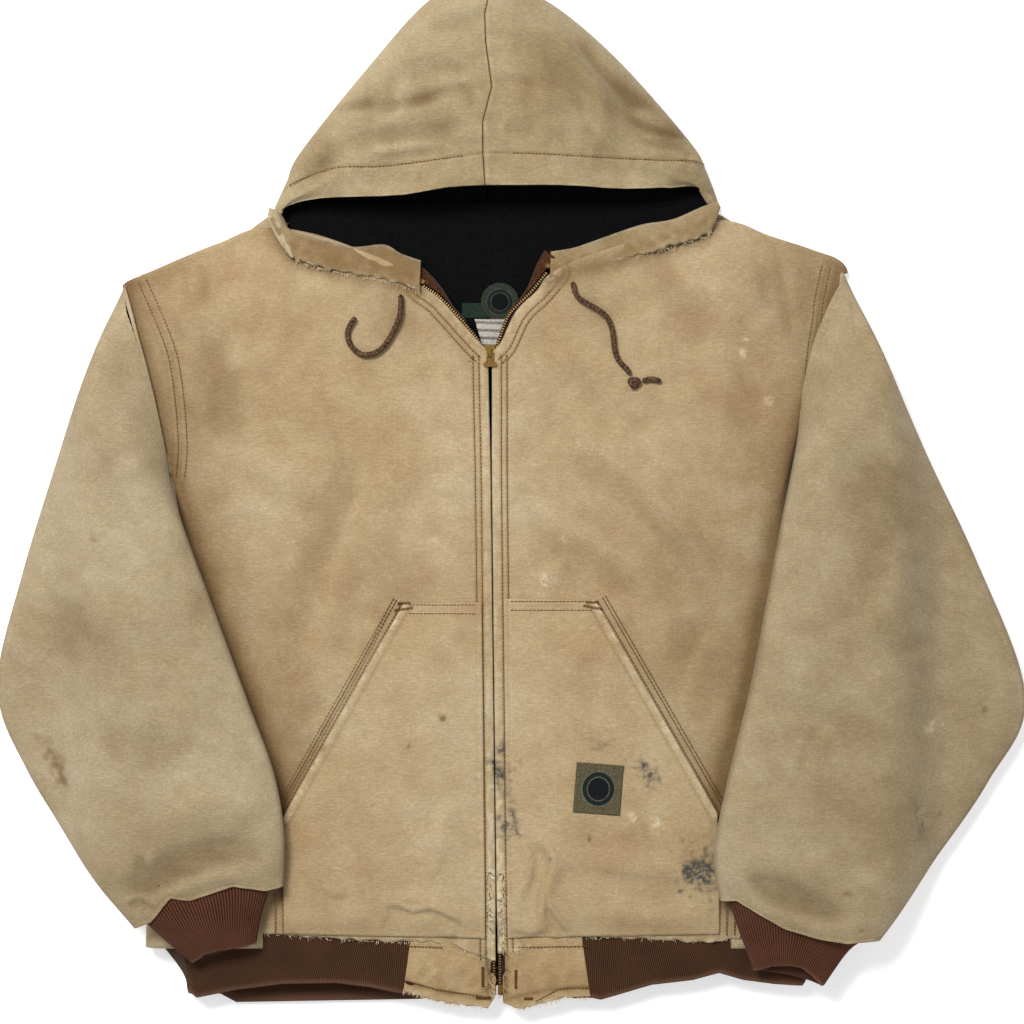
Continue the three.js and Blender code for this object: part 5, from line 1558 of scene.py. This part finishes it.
CORD_TAIL = [(127.5, 532), (131, 533.2), (135, 533.8), (139, 533.2), (143.5, 532)]
KNOT = (120.5, 530.8)
cords = {}
for name, side in SIDES.items():
    mesh, path = braid(f"cord_{name}", side["cord"], CORD_LEVEL)
    thing = piece(f"cord_{name}", mesh, cord_material, "jacket", [f"drawcord_{name}"])
    cords[name] = (thing, to_frame(path))
a, b = np.meshgrid(np.linspace(0, np.pi, 24), np.linspace(0, 2 * np.pi, 41)[:-1], indexing="ij")
lobes = 1 + 0.12 * np.sin(3 * b + 4 * np.cos(a)) * np.sin(a)
knot = np.stack([KNOT[0] + 5.4 * lobes * np.sin(a) * np.cos(b), KNOT[1] + 5.0 * lobes * np.sin(a) * np.sin(b),
                 BODY_DEPTH + 0.4 + 3.3 + 3.2 * lobes * np.cos(a)], -1)
knot_piece = piece("cord_knot", grid_mesh("cord_knot", knot, wrap=True, facing="out"), cord_material,
                   "jacket",
                   ["drawcord_knot"])
tail_mesh, _ = braid("cord_tail", CORD_TAIL, CORD_LEVEL - 0.3)
tail_piece = piece("cord_tail", tail_mesh, cord_material, "jacket", ["drawcord_tail"])
for name, far_end, others in (("right", "bare", []), ("left", "knot", [knot_piece, tail_piece])):
    thing, path = cords[name]
casing = []
for name in ("right", "left"):
    v = np.linspace(0, 0.5, 7)
    spot = hood_point(SIDES[name], name, v, np.full(7, 0.045), 1.4 + CORD / 2 + 0.5)
    spot[:, 2] -= 0.8
    casing.append(spot[::-1] if name == "right" else spot[1:])
casing_mesh, _ = braid("cord_in_casing", np.concatenate(casing), 0)
piece("cord_in_casing", casing_mesh, cord_material, "hood", ["drawcord_casing"])

# %% [markdown]
# ## Labels
#
# The woven patch on the pocket and the round label in the neck carry only plain rings: they are generic.
# A short green tape lies under the round one. The care label is a folded white tape with nothing on it.

# %% Labels
def woven_label(name, ground, ring, centre):
    """Woven cloth whose rings follow the piece's own map: the distance from its middle picks the colour."""
    material, tree, shader = new_material(name)
    spots_in = add(tree, "ShaderNodeUVMap", {"uv_map": "cloth"}).outputs[0]
    reach = add(tree, "ShaderNodeVectorMath", {"operation": "LENGTH"}, in0=spots_in).outputs["Value"]
    disc = ramp(tree, reach, [(0.0, centre), (0.44, centre), (0.47, ring), (0.5, "#1d2a26"),
                              (0.66, "#1d2a26"),
                              (0.69, ring), (0.72, ground), (1.0, ground)])
    place = add(tree, "ShaderNodeTexCoord").outputs["Object"]
    grain = noise(tree, place, 900.0, 2.0)
    colour = blended(tree, 1.0, disc, ramp(tree, grain, [(0.3, "#909090"), (0.7, "#f0f0f0")]), "MULTIPLY")
    finish_cloth(tree, shader, colour, grain, (0.5, 0.0004), 0.9, 0.2)
    return material


patch_cloth = woven_label("woven olive patch", "#6c6449", "#7d7a66", "#16181a")
emblem_cloth = woven_label("woven neck label", "#3a4034", "#5c5f4a", "#0a0c0c")
u, v = np.meshgrid(np.linspace(-1, 1, 41), np.linspace(-1, 1, 41))
tilt = np.radians(-4.5)
px, py = u * 20.3, v * 21.6
x = LABEL_PLACE[0] + px * np.cos(tilt) - py * np.sin(tilt)
y = LABEL_PLACE[1] + px * np.sin(tilt) + py * np.cos(tilt)
z = pocket_height(x, y, "left") + 0.5 + 0.5 * bell(np.maximum(np.abs(u), np.abs(v)) - 0.95, 0.06)
z = z + 0.9 * ease(u + v, 1.5, 2.0) + 0.15 * hills(x, y, 9, 66)
piece("patch", grid_mesh("patch", np.stack([x, y, z], -1), uv=(u, v)), patch_cloth, "jacket",
      ["pocket_patch"], wall=0.8)
r, a = np.meshgrid(np.linspace(0.02, 1, 16), np.linspace(0, 2 * np.pi, 61)[:-1], indexing="ij")
ex, ey = 5 + 16.5 * r * np.cos(a), 602 + 16.5 * r * np.sin(a)
ez = 8.4 + 0.35 * bell(r - 0.95, 0.08) + 0.1 * hills(ex, ey, 8, 67)
piece("neck_emblem", grid_mesh("neck_emblem", np.stack([ex, ey, ez], -1), wrap=True,
                               uv=(r * np.cos(a), r * np.sin(a))), emblem_cloth, "jacket",
      ["neck_label"], wall=0.7)
green_tape = plain_cloth("dark green woven tape", "#142019", "#243528", 900, 0.9, 0.1)
white_tape = plain_cloth("white care label tape", "#8f887e", "#c9c2b8", 900, 0.8, 0.1)
u, v = np.meshgrid(np.linspace(-1, 1, 20), np.linspace(-1, 1, 10))
piece("neck_tape_cloth", grid_mesh("neck_tape_cloth",
                                   np.stack([-14 + 14 * u, 594.5 + 6.5 * v, 7.2 + 0 * u], -1)),
      green_tape, "jacket", ["neck_tape"], wall=0.6)
u, v = np.meshgrid(np.linspace(-1, 1, 30), np.linspace(0, 1, 60))
tag_x = -2 + u * mix(6, 15, v)
tag_y = 557 + 30 * v
tag_z = 8.4 + 1.6 * np.sin(v * 2 * np.pi * 4.5 + 0.4 * u) + 1.2 * v
piece("care_tag", grid_mesh("care_tag", np.stack([tag_x, tag_y, tag_z], -1)), white_tape, "jacket",
      ["care_label"], wall=0.7)

# %% [markdown]
# ## Stitches
#
# Work clothes are held by rows of thick rust-brown thread. A row of stitches is a line on the cloth. Each
# stitch is a short low block, four times as long as the gap to the next, copied along the line at the
# cloth's own height.

# %% Stitches
STITCH_PITCH = 3.2
STITCH_SHAPE = np.array([(-1.3, -0.26), (0, -0.46), (1.3, -0.26), (1.3, 0.26), (0, 0.46), (-1.3, 0.26)])


def stitch_row(line, height, pitch=STITCH_PITCH, across=0.0):
    """Places and directions of the stitches of one row, at the cloth's height under each. across turns
    each stitch away from the row, as a bar tack's are."""
    line = np.asarray(line, float)
    along = lengths(line)
    spots_on = np.arange(pitch / 2, along[-1], pitch)
    at = np.stack([np.interp(spots_on, along, axis) for axis in line.T], -1)
    ahead = np.stack([np.interp(spots_on + 0.5, along, axis) for axis in line.T], -1) - at
    angle = np.arctan2(ahead[:, 1], ahead[:, 0]) + across
    level = height(at[:, 0], at[:, 1]) if callable(height) else np.interp(at[:, 0], *height)
    return np.c_[at, level], angle


def beside(line, distance):
    """A line moved sideways by a distance, to its left if it is positive."""
    line = np.asarray(line, float)
    ahead = np.gradient(line, axis=0)
    ahead = ahead / np.linalg.norm(ahead, axis=1, keepdims=True)
    return line + np.stack([-ahead[:, 1], ahead[:, 0]], -1) * distance


def sew(name, rows, body):
    """One mesh of all the stitches of some rows."""
    places = np.concatenate([p for p, _ in rows])
    angles = np.concatenate([a for _, a in rows])
    mesh = prism_copies(name, STITCH_SHAPE, -0.3, 0.35, places, angles, 0.7)
    return piece(name, mesh, thread_material, body)


for name, side in SIDES.items():
    way = side["way"]

    def on_front(x, y):
        """The front's cloth under a stitch."""
        return front_height(x, y, name)

    def on_pocket(x, y):
        """The pocket's cloth under a stitch."""
        return pocket_height(x, y, name)

    rows = []
    edge = even(placket_line(side), 500, curved=False)
    for distance in STITCH_ROWS:
        run = beside(edge, -way * distance)
        rows.append(stitch_row(run[run[:, 1] < 612], on_front))
    scye = even(side["armscye"], 60)
    rows += [stitch_row(beside(scye, d * -way), on_front) for d in (-1.5, 6.0)]
    sew(f"front_stitches_{name}", rows, "jacket")
    slant = np.array([side["pocket_side"], side["pocket_top"]], float)
    slant = even([slant[0] - (slant[1] - slant[0]) * 0.02, slant[1]], 60, False)
    top_y_stitched = side["pocket_top"][1] - 1.2
    top = even([(zip_x(342) + way * 15, top_y_stitched), (side["pocket_top"][0] - way * 3, top_y_stitched)],
               40, False)
    pocket_rows = [stitch_row(beside(slant, -way * d), on_pocket) for d in (1.4, 6.6, 9.4)]
    pocket_rows += [stitch_row(top - (0, d), on_pocket) for d in (0, 7.6)]
    side_seam = {"right": [(-188, 94), (-188, 54)], "left": [(200, 78), (200, 54)]}[name]
    pocket_rows += [stitch_row(np.array(side_seam) + (d, 0), on_pocket) for d in (0, 6.8)]
    for start, end in {"right": [((-86, 335), (-70, 337)), ((-83, 341), (-72, 341))],
                       "left": [((93, 336), (77, 339)), ((90, 342), (79, 342))]}[name]:
        pocket_rows.append(stitch_row([start, end], on_pocket, 1.1, 1.4))
    sew(f"pocket_stitches_{name}", pocket_rows, "jacket")
    casing_row = stitch_row(even(CASING[name], 80)[9:-7], lambda x, y: hood_top_level(x, y, name))
    sew(f"casing_stitches_{name}", [casing_row], "hood")
    tab_rows = [stitch_row(np.array(points), ([-200, 200], [29.0, 29.0])) for points in {
        "right": [[(-75.3, 16.3), (-50.2, 9), (-19.2, 4.3), (-7, 1.9)], [(-76, 46), (-45, 45)]],
        "left": [[(35.8, -1.7), (54.9, 9), (69, 10.3), (83.4, 10.3)], [(20, 45), (80, 46)]]}[name]]
    for start, end in {"right": [((-9.6, 28.4), (-9.6, 11.2)), ((-15.5, 1.6), (-2.6, 1.6))],
                       "left": [((18.9, 25.8), (18.9, 9.5)), ((25.8, 1.0), (33.5, 1.0))]}[name]:
        tab_rows.append(stitch_row([start, end], ([-200, 200], [29.1, 29.1]), 1.1, 1.4))
    sew(f"tab_stitches_{name}", tab_rows, "jacket")

# %% [markdown]
# ## Frayed edges
#
# Where the cloth wore through, ends of its yarn stick out: along the rim's lower edge, the hem, the tabs,
# the foot of the zip, three darns and a worn hole above the left pocket. Each end is a thin bent tube that
# tapers to its tip.

# %% Frays
def frays(name, line, level, heading, count, length, seed, body, material, spread=1.0):
    """One mesh of loose yarn ends that start at chance places on a line, each with its own direction near
    a heading, its own length and its own curl."""
    chance = np.random.default_rng(seed)
    line = np.asarray(line, float)
    along = lengths(line)
    at = chance.uniform(0, along[-1], count)
    root = np.stack([np.interp(at, along, axis) for axis in line.T], -1)
    t = np.linspace(0, 1, 8)[None]
    start = (heading + chance.uniform(-spread, spread, count))[:, None]
    turn = start + chance.uniform(-2.4, 2.4, count)[:, None] * t
    step = (length * chance.uniform(0.35, 1.6, count) / 7)[:, None]
    x = root[:, :1] + np.cumsum(np.cos(turn) * step, 1)
    y = root[:, 1:] + np.cumsum(np.sin(turn) * step, 1)
    z = level(x, y) + chance.uniform(0.0, 0.5, count)[:, None] + 0.8 * chance.uniform(0, 1, count)[:,
                                                                                                   None] * t
    radius = 0.24 * (1 - 0.7 * t) * chance.uniform(0.7, 1.2, count)[:, None]
    around = np.linspace(0, 2 * np.pi, 5)[:-1]
    side_x, side_y = -np.sin(turn) * radius, np.cos(turn) * radius
    points = np.stack([x[..., None] + side_x[..., None] * np.cos(around),
                       y[..., None] + side_y[..., None] * np.cos(around),
                       z[..., None] + radius[..., None] * np.sin(around)], -1)
    k = np.arange(7)[:, None] * 4 + np.arange(4)[None]
    after = np.arange(7)[:, None] * 4 + (np.arange(4)[None] + 1) % 4
    faces = np.stack([k, after, after + 4, k + 4], -1).reshape(-1, 4)
    faces = np.concatenate([faces, [(3, 2, 1, 0), (28, 29, 30, 31)]])
    step = 32 * np.arange(count)[:, None, None]
    mesh = quads_mesh(name, points.reshape(-1, 3), (faces[None] + step).reshape(-1, 4))
    return piece(name, mesh, material, body)


def flat_level(height):
    """A level that is the same everywhere."""
    return lambda x, y: np.full(np.shape(x), height)


def rim_foot(x, y):
    """Height at the rim's lower edge."""
    return rim_height(np.zeros_like(x), x, y) + 0.3


for name, first in (("right", 16), ("left", 4)):
    ends = frays(f"rim_frays_{name}", even(SIDES[name]["rim_low"], 60)[first:], rim_foot, -1.55, 85, 3.2,
                 5 + first,
                 None, pale_yarn)
    hold_rim(ends)
for name, side in SIDES.items():
    frays(f"hem_frays_{name}", even(side["hem"], 80), lambda x, y: front_height(x, y, name), -1.57, 90, 2.2,
          8 + side["way"], "jacket", pale_yarn)
    foot = [p if abs(p[0]) > 1 or side["way"] > 0 else (p[0] + zip_x(p[1]) - 1.2,
                                                        p[1]) for p in side["tab"]][1:4]
    frays(f"tab_frays_{name}", even(foot, 60), flat_level(28.4), -1.57, 70, 2.6, 18 + side["way"], "jacket",
          pale_yarn)
    zip_line = [(zip_x(y) + side["way"] * 6, y) for y in (112, 70, 50, 20, 4)]
    frays(f"zip_threads_{name}", even(zip_line, 40), lambda x,
          y: front_height(x, y, name) * (y > 56) + 29 * (y <= 56),
          -1.57, 60, 6.0, 28 + side["way"], "jacket", thread_material, 1.6)
frays("hole_frays", even([(39, 366), (42, 357), (50, 357), (47, 368)], 20), lambda x,
      y: front_height(x, y, "left"),
      0.0, 46, 3.4, 33, "jacket", pale_yarn, 3.1)
for k, (x, y) in enumerate([(119, 156), (140, 153), (126, 160)]):
    frays(f"darn_{k}", [(x - 4, y), (x + 4, y)], lambda x, y: pocket_height(x, y, "left"), 1.57, 9, 4.5,
          40 + k,
          "jacket", pale_yarn, 0.4)
frays("loose_thread", [(163, 235), (163, 234)], lambda x, y: pocket_height(x, y, "left"), 0.3, 1, 9.0, 47,
      "jacket",
      thread_material, 0.2)

# %% [markdown]
# ## Floor and finish
#
# The floor is plain and pale.

# %% Floor and finish
floor_material, _, floor_shader = new_material("matt white table")
floor_shader.inputs["Base Color"].default_value = linear("#f4f4f4")
floor_shader.inputs["Roughness"].default_value = 0.9
floor_shader.inputs["Emission Color"].default_value = (1, 1, 1, 1)
floor_shader.inputs["Emission Strength"].default_value = 0.4
floor_mesh = bpy.data.meshes.new("floor")
floor_mesh.from_pydata([(-6, -6, -0.0006), (6, -6, -0.0006), (6, 6, -0.0006), (-6, 6, -0.0006)], [],
                       [(0, 1, 2, 3)])
floor_mesh.materials.append(floor_material)
floor = bpy.data.objects.new("floor", floor_mesh)
scene.collection.objects.link(floor)
